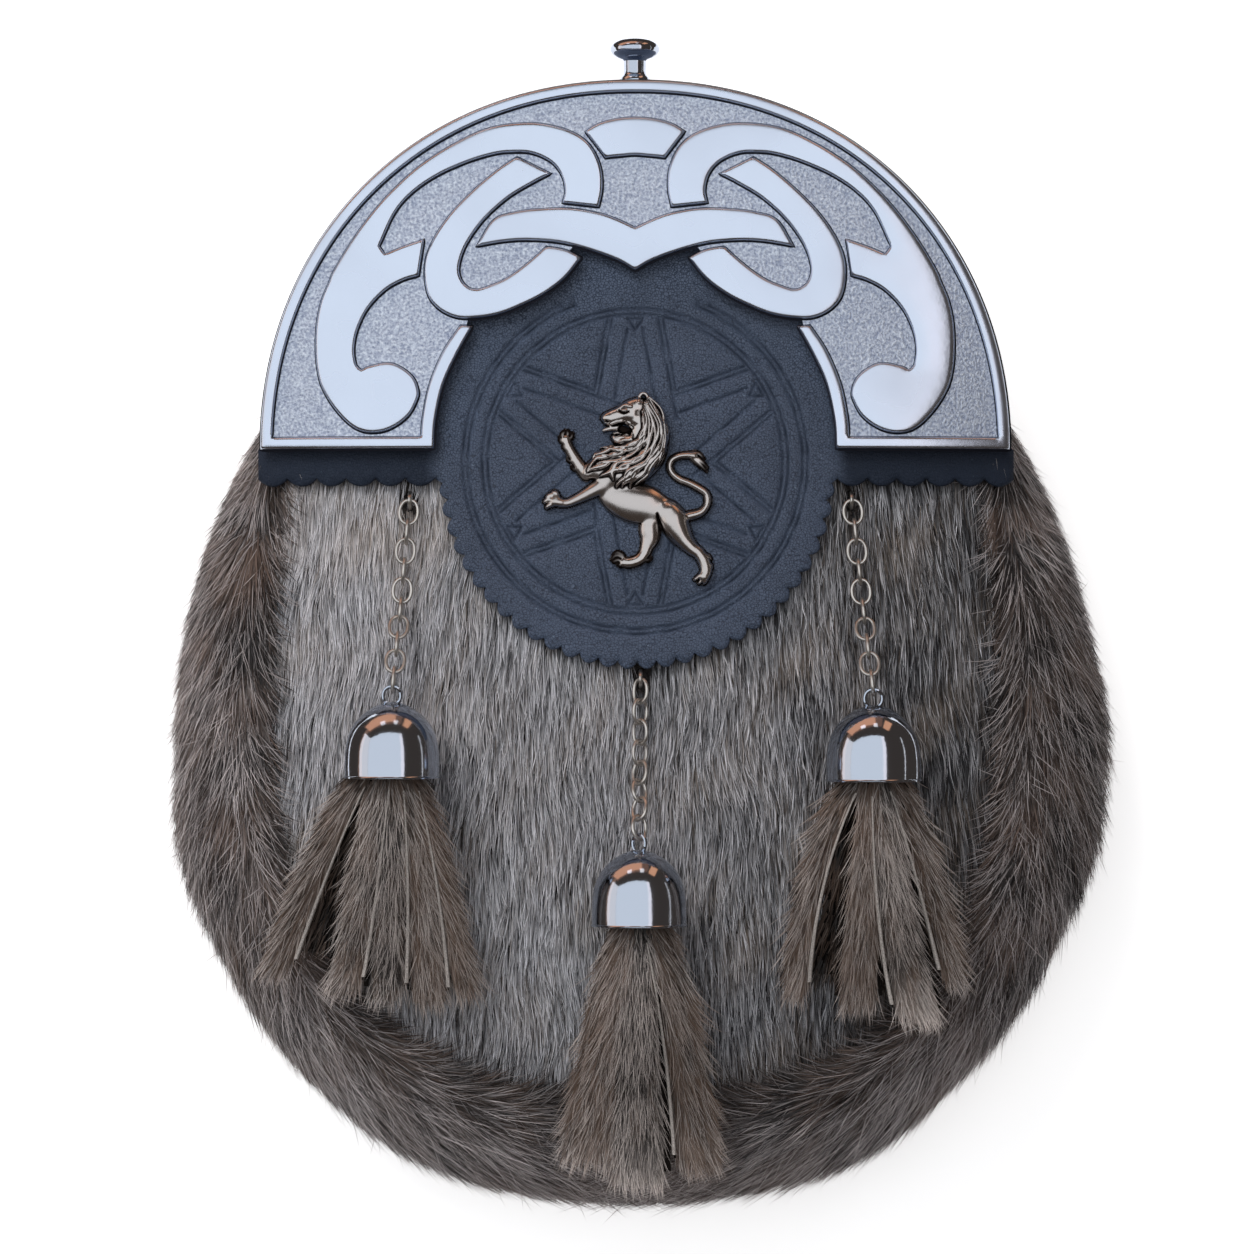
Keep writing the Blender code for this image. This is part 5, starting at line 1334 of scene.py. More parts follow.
def tassel_shape(side, mouth, x, y):
    """Middle height and half thickness of a tassel: round at the bell, settling onto the hide."""
    longest = max(strip.down for strip in STRIPS[side])
    widest = max(abs(strip.across) + strip.half for strip in STRIPS[side])
    along = np.maximum(mouth[1] - y, 0.0) / longest
    settle = ease(along, 0.0, 1.0)
    half_width = HEAD_RADIUS + (widest - HEAD_RADIUS) * along
    round_off = np.sqrt(np.clip(1.0 - ((x - mouth[0]) / half_width) ** 2, 0.12, 1.0))
    half = (HEAD_RADIUS + (TIP_THICKNESS / 2 - HEAD_RADIUS) * settle) * round_off
    rest = np.maximum(front(x, y), REST_LEVEL) + GAP + TIP_THICKNESS / 2
    axis = bell_axis(mouth)
    return axis + (rest - axis) * settle, half


def strip_surface(side, mouth, strip, under, t, c):
    """Point of a strip at a share t from the bell to its tip and c from its left (-1) to its right (1)."""
    x = mouth[0] + strip.across * (MOUTH_SPREAD + (1 - MOUTH_SPREAD) * t ** 0.85)
    x = x + 4.0 * strip.bow * t * (1.0 - t)
    x = x + c * (STRIP_MOUTH_HALF_WIDTH + (strip.half - STRIP_MOUTH_HALF_WIDTH) * t ** 0.8)
    y = mouth[1] + STRIP_INSIDE - (strip.down + STRIP_INSIDE) * t + 0.6 * c * c
    middle, thick = tassel_shape(side, mouth, x, y)
    if under:
        z = middle - 0.45 * thick + strip.lift * 0.5
    else:
        z = middle + thick * 0.88 + strip.lift * ease(t, 0.1, 0.5) - 0.9 - 0.5 * c * c
    return np.stack((x, y, z), -1)


def cut_edge(side, mouth, strip):
    """Pale band along a strip's free cut: a six-sided section that widens towards the tip."""
    t = np.linspace(0.13, 0.985, 40)
    edge = strip_surface(side, mouth, strip, False, t, strip.cut * 0.99)
    half = 0.15 + 0.26 * t
    grid = edge[:, None, :] + np.stack((half[:, None] * CUT_SECTION[:, 0], np.zeros((len(t), 6)),
                                        np.broadcast_to(CUT_SECTION[:, 1], (len(t), 6))), -1)
    return grid.reshape(-1, 3), capped(len(t), 6), 0.0


def strip_hair(name, side, mouth, strips, under, count, guard, seed):
    """Hair on a tassel's strips: it runs along the strip, leans outwards, and leaves the cuts bare.

    A side is kept clear where the strip's own cut or its neighbour's lies, so that the near-black pelt shows
    there as painted shade.
    """
    draw = np.random.default_rng(seed)
    cuts = [0] + [strip.cut for strip in strips] + [0]
    parts = []
    for strip, before, after in zip(strips, cuts[:-2], cuts[2:]):
        some = int(count * (strip.half + 1.0) * strip.down / STRIP_UNIT)
        clear_left = max(0.08 * (strip.cut < 0), 0.2 * (before > 0))
        clear_right = max(0.08 * (strip.cut > 0), 0.2 * (after < 0))
        t = draw.uniform(0.02, 1.0, some) ** 0.8
        c = draw.uniform(-0.97 + clear_left, 0.97 - clear_right, some)
        here = strip_surface(side, mouth, strip, under, t, c)
        ahead = strip_surface(side, mouth, strip, under, t + 0.02, c) - here
        beside = strip_surface(side, mouth, strip, under, t, c + 0.05) - here
        normal, ahead, beside = unit(np.cross(ahead, beside)), unit(ahead), unit(beside)
        at_right = ease(c, 0.4, 0.9) * (clear_right > 0) * ease(t, 0.05, 0.2)
        at_left = ease(-c, 0.4, 0.9) * (clear_left > 0) * ease(t, 0.05, 0.2)
        x, y, _ = here.T
        splay = float(np.clip(0.022 * strip.across, -0.25, 0.25)) * (1.0 - 0.4 * t)
        at_cut = np.maximum(at_left, at_right)
        lean = splay * (1.0 - at_cut) + 0.12 * c + 0.08 * waves(x / 3.0, y / 9.0, 73, 9)
        lean += 0.3 * at_left - 0.3 * at_right
        flow = ahead + beside * (lean + draw.normal(0.0, 0.17 if guard else 0.09, some))[:, None]
        strand = 0.6 * waves(x / 0.9 - 0.25 * strip.across * t, y / 12.0, 71, 12)
        tone = 0.27 * strip.tone * np.exp(strand + draw.normal(0.0, 1.0, some))
        tone += strip.pale * ease(t, 0.75, 1.0)
        # painted shade: the hair is darker near and inside the bell's mouth
        tone = tone * (1.0 - 0.5 * ease(-t, -0.12, 0.0)) + (0.62 if guard else 0.0)
        warmth = strip.warmth + 0.3 * waves(x / 4.0, y / 18.0, 72) + draw.normal(0, 0.12, some)
        reach = draw.uniform(7.0, 11.0, some) if guard else draw.uniform(4.0, 7.0, some)
        low = 1.0 - 0.9 * at_cut
        parts.append((here + normal * (draw.uniform(-0.1, 0.35, some) * low)[:, None], flow, normal,
                      reach * (0.5 + 0.5 * ease(t, 0.0, 0.25)) * (1.0 - 0.35 * ease(t, 0.85, 1.0)),
                      draw.uniform(0.14, 0.2, some) if guard else draw.uniform(0.22, 0.36, some),
                      tone, warmth - (0.4 if guard else 0.0), low))
    roots, flow, normal, length, width, tone, warmth, low = (np.concatenate(v) for v in zip(*parts))
    hair(name, roots, flow, normal, length, width, tassel_hair, "long_fur", tone, warmth, 4 if guard else 3,
         (0.9 if guard else 0.55) * low, draw.normal(0.0, 0.4, len(roots)), 0.5, seed + 1)


t_grid, c_grid = np.meshgrid(np.linspace(0.0, 1.0, 29), np.linspace(-1.0, 1.0, 9), indexing="ij")
for number, (side, strips) in enumerate(STRIPS.items()):
    mouth = CHAINS[side][1]
    # The under layer's hair has a low tone: painted shade in the gaps between the strips over it
    under_strips = [Strip((a.across + b.across) / 2, min(a.down, b.down) - 2.5, (a.half + b.half) / 2, 0.0,
                          0.07, 0.4, 0.0, 0, 0.0)
                  for a, b in zip(strips[:-1], strips[1:])]
    parts = []
    for strip, under in [(s, False) for s in strips] + [(s, True) for s in under_strips]:
        top = strip_surface(side, mouth, strip, under, t_grid, c_grid)
        parts.append((*slab(top, top - (0.0, 0.0, SKIN)), 0.0))
    joined(f"tassel_strips_{side}", parts, tassel_pelt, "long_fur", [f"tassel_{side}"], 40.0)
    cuts = [cut_edge(side, mouth, strip) for strip in strips if strip.cut]
    joined(f"tassel_cuts_{side}", cuts, raw_edge, "long_fur")
    strip_hair(f"tassel_fur_{side}", side, mouth, strips, False, STRIP_HAIRS, False, 81 + number)
    strip_hair(f"tassel_guard_{side}", side, mouth, strips, False, STRIP_GUARDS, True, 101 + number)
    strip_hair(f"tassel_underfur_{side}", side, mouth, under_strips, True, UNDER_HAIRS, False, 91 + number)

# %% [markdown]
# ## Lion
# The badge is a low casting of a lion that rears on its hind legs.  Its height over the leather is
# worked out on a fine grid.  Each limb and toe is a stroke with a round section; strokes lie in
# layers, and the highest one wins.  The mane is a fan of locks between guide curves, and eye, mouth
# and thigh are pits cut afterwards.  A thin backing plate shows round the edges, as on the casting.

# %% Lion drawing

LION_X, LION_Y = -2.7, 26.6
LION_STEP = 0.135
LION_BACKING, LION_MARGIN = 0.45, 0.3
LION_LAYERS = {                 # foot, rise for each half width, strokes as rows of x, y, half width
    "far": (0.45, 0.62, (
        ((-7.2, 2.7, 1.25), (-8.7, 4.6, 1.08), (-10.0, 6.7, 0.88), (-10.9, 8.4, 0.85), (-11.3, 9.6, 0.94)),
        ((-11.3, 9.5, 0.46), (-11.9, 10.5, 0.43), (-11.5, 11.2, 0.26)),
        ((-11.1, 9.6, 0.43), (-10.9, 10.6, 0.4), (-10.9, 11.3, 0.23)),
        ((-10.7, 9.5, 0.4), (-10.1, 10.2, 0.34), (-10.0, 10.8, 0.2)),
        ((-11.5, 8.9, 0.4), (-12.2, 9.4, 0.34), (-12.4, 10.1, 0.2)),
        ((-10.9, 7.5, 0.34), (-11.6, 7.9, 0.26), (-11.9, 8.3, 0.11)),
        ((-9.8, 5.2, 0.34), (-10.6, 5.4, 0.26), (-10.9, 5.8, 0.11)),
        ((-8.9, 3.6, 0.34), (-9.8, 3.8, 0.23), (-10.1, 4.2, 0.11)),
        ((5.7, -6.2, 1.3), (5.4, -8.0, 2.0), (5.5, -9.9, 1.76), (4.9, -11.6, 1.25), (4.4, -13.0, 1.08),
         (3.3, -14.3, 1.02), (1.6, -14.9, 0.97), (0.3, -14.9, 0.91)),
        ((0.7, -14.6, 0.43), (-0.6, -13.6, 0.37), (-1.5, -13.6, 0.31), (-2.1, -14.3, 0.17)),
        ((0.4, -14.4, 0.4), (-0.1, -13.3, 0.34), (-1.1, -12.9, 0.26), (-1.8, -13.3, 0.14)),
        ((0.3, -15.0, 0.43), (-0.8, -14.4, 0.37), (-1.7, -14.7, 0.23)),
        ((0.4, -15.4, 0.4), (-0.4, -15.4, 0.34), (-0.9, -15.2, 0.2)),
        ((4.4, -14.4, 0.34), (5.4, -14.3, 0.23), (5.7, -13.9, 0.11)),
    )),
    "tail": (0.45, 1.0, (
        ((13.0, -5.7, 0.97), (15.4, -5.0, 0.8), (16.6, -3.8, 0.68), (17.0, -2.4, 0.68), (16.6, -1.1, 0.63),
         (15.2, -0.1, 0.63), (13.3, 0.9, 0.6), (11.3, 1.7, 0.6), (9.9, 2.9, 0.57), (9.4, 4.3, 0.57),
         (9.9, 5.6, 0.57), (11.3, 6.3, 0.57), (13.0, 6.5, 0.63), (14.4, 6.4, 0.63)),
        ((13.3, 6.4, 0.51), (15.0, 5.1, 0.4), (16.7, 3.3, 0.14)),
        ((13.8, 6.5, 0.46), (15.4, 5.5, 0.37), (16.8, 4.1, 0.14)),
        ((13.3, 6.8, 0.4), (15.0, 6.8, 0.37), (16.2, 5.8, 0.14)),
        ((13.5, 6.2, 0.4), (14.4, 5.2, 0.28), (15.5, 4.1, 0.11)),
    )),
    "torso": (0.55, 0.46, (
        ((-3.2, -0.6, 1.9), (-0.9, -1.9, 3.1), (1.9, -2.9, 3.8), (4.6, -3.5, 3.7), (7.3, -4.4, 2.8),
         (9.3, -5.0, 2.4)),
    )),
    "near": (1.05, 0.62, (
        ((-3.0, 1.1, 1.71), (-5.0, -0.1, 1.48), (-7.0, -1.2, 1.17), (-8.9, -2.2, 0.94), (-10.8, -3.0, 0.8),
         (-12.2, -3.0, 0.85), (-13.4, -2.9, 0.8)),
        ((-12.4, -2.9, 0.95), (-13.4, -2.6, 1.1)),
        ((-13.2, -1.9, 0.57), (-14.2, -1.5, 0.54), (-14.9, -1.8, 0.37)),
        ((-13.6, -2.5, 0.57), (-14.8, -2.4, 0.54), (-15.4, -2.8, 0.37)),
        ((-13.6, -3.2, 0.57), (-14.6, -3.5, 0.51), (-15.0, -3.9, 0.34)),
        ((-12.9, -1.9, 0.51), (-13.2, -1.1, 0.48), (-13.8, -0.9, 0.31)),
        ((9.4, -4.9, 2.2), (10.2, -6.4, 2.75), (11.0, -8.3, 2.45), (12.3, -10.4, 1.76), (13.8, -12.0, 1.37),
         (15.2, -13.1, 1.2), (16.2, -14.7, 1.2), (16.6, -16.4, 1.14), (16.2, -17.6, 1.14)),
        ((16.2, -17.3, 0.48), (15.2, -17.6, 0.43), (14.4, -18.3, 0.28)),
        ((16.2, -17.8, 0.48), (15.6, -18.6, 0.4), (15.2, -19.0, 0.23)),
        ((16.7, -17.6, 0.46), (16.5, -18.6, 0.37), (16.2, -19.0, 0.23)),
        ((16.5, -13.3, 0.34), (17.2, -13.6, 0.23), (17.6, -14.3, 0.11)),
        ((17.0, -15.0, 0.34), (17.6, -15.3, 0.23), (17.8, -16.0, 0.11)),
    )),
    "mane": (1.2, 0.5, (
        ((4.4, 15.7, 1.88), (5.9, 12.9, 2.5), (6.4, 9.8, 2.7), (5.6, 6.6, 2.85), (3.3, 4.4, 3.19),
         (0.4, 3.2, 3.19), (-2.4, 3.2, 2.7), (-5.2, 3.8, 2.05), (-6.7, 2.9, 1.14)),
        ((3.6, 11.5, 1.71), (2.7, 9.2, 1.76), (0.4, 7.1, 1.65), (-2.4, 6.8, 1.31), (-4.7, 5.9, 1.14)),
    )),
    "head": (1.5, 0.62, (
        ((3.0, 16.2, 1.76), (1.6, 15.5, 1.99), (0.2, 14.7, 1.76), (-1.3, 14.2, 1.62), (-2.6, 13.8, 1.45)),
        ((-3.1, 14.1, 0.97), (-3.5, 13.9, 0.8)),
        ((2.2, 14.0, 1.76), (3.7, 12.9, 1.71), (3.4, 11.0, 1.37)),
        ((2.4, 9.4, 1.08), (0.2, 9.3, 1.0), (-1.2, 9.6, 0.74), (-1.8, 10.1, 0.4)),
    )),
}
BODY_LAYERS = ("far", "torso", "near")
LION_PITS = (                   # nostril, eye, mouth, lip, ear and the thigh's crease: x, y, half width
    ((-3.3, 13.2, 0.26), (-2.8, 13.1, 0.2)),
    ((-0.6, 15.2, 0.26), (0.3, 14.8, 0.26), (1.3, 15.1, 0.17)),
    ((-0.1, 11.6, 0.85), (1.3, 11.3, 0.68)),
    ((-2.0, 12.3, 0.17), (-0.7, 12.6, 0.23), (0.4, 12.5, 0.34)),
    ((4.2, 18.0, 0.26), (4.2, 17.3, 0.23)),
    ((6.9, -5.2, 0.2), (7.1, -6.2, 0.34), (7.9, -8.4, 0.34), (9.0, -10.3, 0.2)),
)
LION_RIDGES = (                 # beard, brow, eyeball, tongue, lips and ear: x, y, half width
    ((1.6, 10.9, 0.4), (-0.1, 11.0, 0.34), (-1.8, 10.8, 0.17)),
    ((1.7, 10.2, 0.4), (0.2, 10.3, 0.34), (-1.5, 10.0, 0.14)),
    ((1.7, 9.6, 0.4), (0.4, 9.5, 0.34), (-0.7, 9.1, 0.14)),
    ((-0.9, 15.8, 0.37), (0.2, 16.5, 0.43), (1.7, 16.1, 0.34)),
    ((-0.1, 15.3, 0.26), (0.7, 15.4, 0.26)),
    ((-3.8, 11.4, 0.3), (-2.8, 11.7, 0.42), (-1.4, 11.9, 0.46), (0.2, 11.8, 0.48), (1.4, 11.3, 0.46)),
    ((-2.4, 12.4, 0.31), (-0.7, 13.0, 0.34), (1.0, 12.8, 0.34), (1.8, 11.8, 0.34), (1.8, 10.6, 0.28)),
    ((3.3, 16.9, 0.37), (3.4, 18.2, 0.37), (4.1, 18.8, 0.34), (4.9, 18.3, 0.34), (5.1, 17.0, 0.34)),
)
MANE_GUIDES = (                 # curves that the locks follow, from the cheek to the shoulder
    ((3.7, 15.7), (4.0, 12.9), (3.3, 10.3), (1.6, 8.8), (-0.7, 8.2), (-3.0, 8.3), (-5.0, 7.5), (-6.1, 5.6)),
    ((4.1, 16.6), (5.3, 12.9), (5.0, 10.1), (3.3, 7.8), (0.7, 6.4), (-2.1, 5.8), (-5.2, 4.6), (-7.4, 2.4)),
    ((4.4, 17.2), (6.3, 13.2), (6.4, 10.1), (5.0, 7.2), (2.7, 5.2), (0.2, 3.8), (-1.5, 2.4), (-2.4, 0.2)),
    ((4.9, 17.7), (7.1, 14.0), (7.7, 10.3), (6.7, 7.2), (5.0, 4.6), (3.0, 2.7), (1.6, 1.2), (0.7, -0.6)),
    ((5.4, 18.2), (8.1, 15.2), (9.1, 10.9), (8.6, 7.5), (7.3, 4.9), (5.9, 2.9), (4.4, 1.5), (3.0, 0.2)),
)
LOCKS_ACROSS, LOCK_RISE, LOCK_SWAY = 9, 0.95, 0.04
# start and end along the mane, lift
LOCK_LAYERS = ((0.58, 1.0, 0.0), (0.38, 0.84, 0.15), (0.17, 0.64, 0.3), (0.0, 0.44, 0.45))
MERGE_POWER, SECTION_POWER, JOINT = 2.4, 1.5, 0.7
PIT_FLOOR = 0.3

# %% Lion relief

lion_x = np.arange(-17.0, 19.0, LION_STEP)
lion_y = np.arange(-20.0, 20.0, LION_STEP)
relief = np.full((len(lion_x), len(lion_y)), -1.0)


def stroke(rows, steps=10):
    """Window of the grid round a stroke, its round section there (0 to 1) and its half width.

    The section is sqrt(1 - (distance / half width)^2), taken from the nearest run of the stroke.
    """
    rows = catmull(rows, steps)
    low, high = (rows[:, :2] - rows[:, 2:]).min(0), (rows[:, :2] + rows[:, 2:]).max(0)
    window = tuple(slice(*np.searchsorted(axis, (a, b))) for axis, a, b in zip((lion_x, lion_y), low, high))
    x, y = np.meshgrid(lion_x[window[0]], lion_y[window[1]], indexing="ij")
    best, width = np.zeros(x.shape), np.zeros(x.shape)
    for (ax, ay, ar), (bx, by, br) in zip(rows[:-1], rows[1:]):
        run_x, run_y = bx - ax, by - ay
        t = np.clip(((x - ax) * run_x + (y - ay) * run_y) / max(run_x ** 2 + run_y ** 2, 1e-9), 0.0, 1.0)
        radius = ar + t * (br - ar)
        square = (x - ax - t * run_x) ** 2 + (y - ay - t * run_y) ** 2
        section = np.clip(1.0 - square / radius ** 2, 0.0, 1.0) ** 0.5
        width = np.where(section > best, radius, width)
        best = np.maximum(best, section)
    return window, best, width


for *_, strokes in LION_LAYERS.values():
    for rows in strokes:
        window, section, _ = stroke(np.array(rows) + (0.0, 0.0, LION_MARGIN))
        backing = np.where(section > 0, LION_BACKING * np.minimum(3 * section, 1.0), -1.0)
        relief[window] = np.maximum(relief[window], backing)
broad = np.zeros(relief.shape)
for layer, (foot, rise, strokes) in LION_LAYERS.items():
    swell = np.zeros(relief.shape)
    for rows in strokes:
        window, section, width = stroke(rows)
        height = rise * width * section ** SECTION_POWER
        swell[window] = (swell[window] ** MERGE_POWER + height ** MERGE_POWER) ** (1.0 / MERGE_POWER)
        broad[window] = np.maximum(broad[window], width * (layer in BODY_LAYERS))
    over = np.where(swell > 0, foot + swell, -1.0)
    soft = 0.25 * JOINT * np.clip(1.0 - np.abs(over - relief) / JOINT, 0.0, 1.0) ** 2
    relief = np.maximum(relief, over) + soft * (relief > LION_BACKING) * (over > 0)
smooth, softer = relief.copy(), relief.copy()
for passes, field in ((2, smooth), (14, softer)):
    for axis in (0, 1) * passes:
        field[:] = (np.roll(field, 1, axis) + 2.0 * field + np.roll(field, -1, axis)) / 4.0
smooth += ease(broad, 1.0, 1.7) * ease(softer, 0.9, 1.3) * (softer - smooth)
relief = np.where((relief > LION_BACKING) & (smooth > LION_BACKING), smooth, relief)

guides = np.stack([catmull(rows, 8) for rows in MANE_GUIDES])
draw = np.random.default_rng(61)
locks = np.zeros(relief.shape)


def mane_place(u, v):
    """Point of the mane: u across the guides and v along them, both from 0 to 1."""
    across, along = np.clip(u, 0.0, 1.0) * (len(guides) - 1), np.clip(v, 0.0, 1.0) * (guides.shape[1] - 1)
    i, j = np.minimum(across.astype(int), len(guides) - 2), np.minimum(along.astype(int), guides.shape[1] - 2)
    p, q = (across - i)[:, None], (along - j)[:, None]
    near = guides[i, j] * (1 - q) + guides[i, j + 1] * q
    return near * (1 - p) + (guides[i + 1, j] * (1 - q) + guides[i + 1, j + 1] * q) * p


for start, end, lift in LOCK_LAYERS:
    for number in range(LOCKS_ACROSS):
        middle = (number + 0.5 + draw.uniform(-0.2, 0.2)) / LOCKS_ACROSS
        v = np.linspace(start + draw.uniform(-0.05, 0.05), end + draw.uniform(-0.07, 0.02), 12)
        share = np.linspace(0.0, 1.0, 12)
        wave = np.sin(2.0 * np.pi * (1.15 * share + draw.uniform(0.0, 1.0)))
        bend = LOCK_SWAY * wave * np.minimum(4 * share, 1.0)
        path = mane_place(middle + bend, v)
        room = mane_place(middle + bend + 0.03, v) - mane_place(middle + bend - 0.03, v)
        room = np.hypot(*room.T) / 0.06 / LOCKS_ACROSS
        half = np.maximum(0.56 * room * np.minimum(share * 5 + 0.3, 1.0) * (1.0 - share ** 2.2) ** 0.8, 0.06)
        window, section, _ = stroke(np.column_stack((path, half)), 2)
        locks[window] = np.maximum(locks[window], np.where(section > 0, LOCK_RISE * section + lift, 0.0))
relief = np.where(locks > 0, np.maximum(relief, 1.1) + locks, relief)
for rows in LION_RIDGES:
    window, section, _ = stroke(rows)
    relief[window] = np.where(section > 0, np.maximum(relief[window], 1.2) + 0.34 * section, relief[window])
pitted = np.zeros(relief.shape)
for rows in LION_PITS:
    window, section, width = stroke(rows)
    cut = (section > 0) & (relief[window] > LION_BACKING)
    sunk = np.maximum(relief[window] - 1.9 * width * section, PIT_FLOOR)
    relief[window] = np.where(cut, sunk, relief[window])
    pitted[window] = np.maximum(pitted[window], np.where(cut, np.minimum(2.5 * section, 1.0), 0.0))

body = relief > 0
blurred = relief.copy()
for _ in range(6):
    for axis in (0, 1):
        blurred = (np.roll(blurred, 1, axis) + blurred + np.roll(blurred, -1, axis)) / 3
hollow = np.maximum(np.clip((blurred - relief) / 0.12, 0.0, 1.0), pitted)
hollow += 0.8 * ease(relief, 0.3, 0.44) * ease(-relief, -1.0, -0.5)
relief = np.where(body, relief + 0.2, -0.4)
plan = np.stack(np.meshgrid(lion_x + LION_X, lion_y + LION_Y, indexing="ij"), -1)
seat = front(plan[..., 0], plan[..., 1]) + 2 * GAP + TABARD_THICKNESS
near = body.copy()
for axis in (0, 1):
    for step in (1, -1):
        near |= np.roll(body, step, axis)
index = np.arange(body.size).reshape(body.shape)
cell = near[:-1, :-1] & near[1:, :-1] & near[1:, 1:] & near[:-1, 1:]
quads = np.stack((index[:-1, :-1], index[1:, :-1], index[1:, 1:], index[:-1, 1:]), -1)[cell]
top = np.concatenate((plan, (seat + relief)[..., None]), -1).reshape(-1, 3)
low = np.concatenate((plan, (seat - 0.5)[..., None]), -1).reshape(-1, 3)
edges = np.concatenate((quads[:, [0, 1]], quads[:, [1, 2]], quads[:, [2, 3]], quads[:, [3, 0]]))
_, first, count = np.unique(np.sort(edges, 1), axis=0, return_index=True, return_counts=True)
rim = edges[first[count == 1]]
size = len(top)
walls = np.column_stack((rim[:, 0] + size, rim[:, 1] + size, rim[:, 1], rim[:, 0]))
used, faces = np.unique(np.concatenate((quads, quads[:, ::-1] + size, walls)), return_inverse=True)
recess = np.concatenate((hollow.ravel(), np.ones(size)))[used]
points = np.concatenate((top, low))[used]
joined("lion_badge_relief", [(points, faces.reshape(-1, 4).tolist(), recess)], silver, "aged_silver",
       ["lion_badge"], 180.0)

# %% [markdown]
# ## Back
# The back is plain black leather: a panel with a slot for the hand, two loops for the chain strap and
# the arch that closes the pouch behind the cantle.  Rows of stitches hold them.

# %% Leather pieces behind

BACK_THICKNESS = 2.0
BACK_EDGE_OUT, BACK_EDGE_IN = 6.2, 0.6
MOUTH_Y, MOUTH_HALF_WIDTH, MOUTH_HALF_HEIGHT = 85.0, 46.0, 5.0
LOOP_X, LOOP_Y, LOOP_WIDTH = 38.0, 52.0, 20.0
STRIP_THICKNESS, LOOP_HALF_SPAN, LOOP_RAMP, LOOP_FOOT = 1.6, 13.0, 4.0, 7.0
ARCH_DROP = 1.4                 # top of the arch below the seam
ARCH_SECTION = (                # distance out of the seam, share of the height
    (0.4, 0.02), (1.6, 0.0), (2.5, 0.012), (2.8, 0.03), (2.8, 0.5), (2.8, 0.97), (2.5, 0.988), (1.6, 1.0),
    (0.4, 0.98), (0.4, 0.5),
)


def back_edge(inset):
    """Outline of the back panel, moved in by an inset."""
    points, normals = seam_frame(even_angles(0.0, 2.0 * math.pi, 241)[:-1])
    out = bulge_share(points[:, 1]) * (BACK_EDGE_OUT + BACK_EDGE_IN) - BACK_EDGE_IN - inset
    return points + normals * out[:, None]


slot_turn = np.unwrap(np.arctan2(back_edge(0.0)[:, 1] - MOUTH_Y, back_edge(0.0)[:, 0]))


def slot_ring(grow):
    """The mouth's edge with one point for each point of the back's edge, so that a grid joins them."""
    c, s = np.cos(slot_turn), np.sin(slot_turn)
    size = (np.abs(c / (MOUTH_HALF_WIDTH + grow)) ** 4 + np.abs(s / (MOUTH_HALF_HEIGHT + grow)) ** 4) ** -0.25
    return np.stack((size * c, MOUTH_Y + size * s), -1)


# one grid runs over the soft outer edge, over the top to the slot, through it and back below
rings = [(back_edge(inset), share) for inset, share in
         ((1.2, 0.0), (0.35, 0.04), (0.0, 0.3), (0.0, 0.7), (0.35, 0.96), (1.2, 1.0))]
rings += [(slot_ring(grow), share) for grow, share in
          ((0.8, 1.0), (0.25, 0.96), (0.0, 0.7), (0.0, 0.3), (0.25, 0.04), (0.8, 0.0))]
grid = np.stack([np.column_stack((edge, np.full(len(edge), BACK_LEVEL + BACK_THICKNESS * share)))
                 for edge, share in rings])
faces = grid_faces(*grid.shape[:2], wrap_rows=True, wrap_columns=True)[:, ::-1]
piece("back_leather", grid.reshape(-1, 3), faces.tolist(), black_leather, "black_leather", ["back_panel"],
      60.0)

foot_y, foot_z = LOOP_HALF_SPAN + LOOP_RAMP, BACK_LEVEL - GAP - STRIP_THICKNESS
half = [(LOOP_HALF_SPAN, 0.0), (foot_y, foot_z), (foot_y + 3.0, foot_z), (foot_y + LOOP_FOOT, foot_z)]
under = catmull([(-y, z) for y, z in half[::-1]] + [(-6.0, 0.0), (6.0, 0.0)] + half, 6)
under[:, 1] = np.maximum(under[:, 1], 0.0)
across = np.array((-1.0, -0.97, -0.9, -0.5, 0.0, 0.5, 0.9, 0.97, 1.0)) * LOOP_WIDTH / 2
soften = 0.3 * np.array((1.0, 0.3, 0.0, 0.0, 0.0, 0.0, 0.0, 0.3, 1.0))
for side, sign in (("left", -1.0), ("right", 1.0)):
    x, y, z = np.broadcast_arrays(sign * LOOP_X + across, LOOP_Y + under[:, :1], under[:, 1:])
    thick = np.minimum(STRIP_THICKNESS, foot_z + STRIP_THICKNESS - z)
    top_face = np.stack((x, y, z + thick - soften), -1)
    low_face = np.stack((x, y, z + soften), -1)
    points, faces = slab(top_face[:, ::-1], low_face[:, ::-1])
    piece(f"strap_loop_{side}", points, faces.tolist(), black_leather, "black_leather",
          [f"belt_loop_{side}"], 60.0)

start = angle_at(GUSSET_TOP_Y + 1.0)
arch, normals = seam_frame(even_angles(start, math.pi - start, 121))
arch_top = between(SEAM_HEIGHT, arch[:, 1]) - ARCH_DROP
grid = np.stack([np.column_stack((arch + normals * out, BACK_LEVEL + share * (arch_top - BACK_LEVEL)))
                 for out, share in ARCH_SECTION], 1)
piece("arch_leather", grid.reshape(-1, 3), capped(*grid.shape[:2]), black_leather, "black_leather",
      ["top_band"], 60.0)

# %% Stitches

STITCH_STATIONS = np.array((     # place along the stitch, radius
    (-1.6, 0.05), (-1.45, 0.24), (-0.9, 0.36), (0.9, 0.36), (1.45, 0.24), (1.6, 0.05),
))
STITCH_SIDES, STITCH_SPACING = 6, 4.6


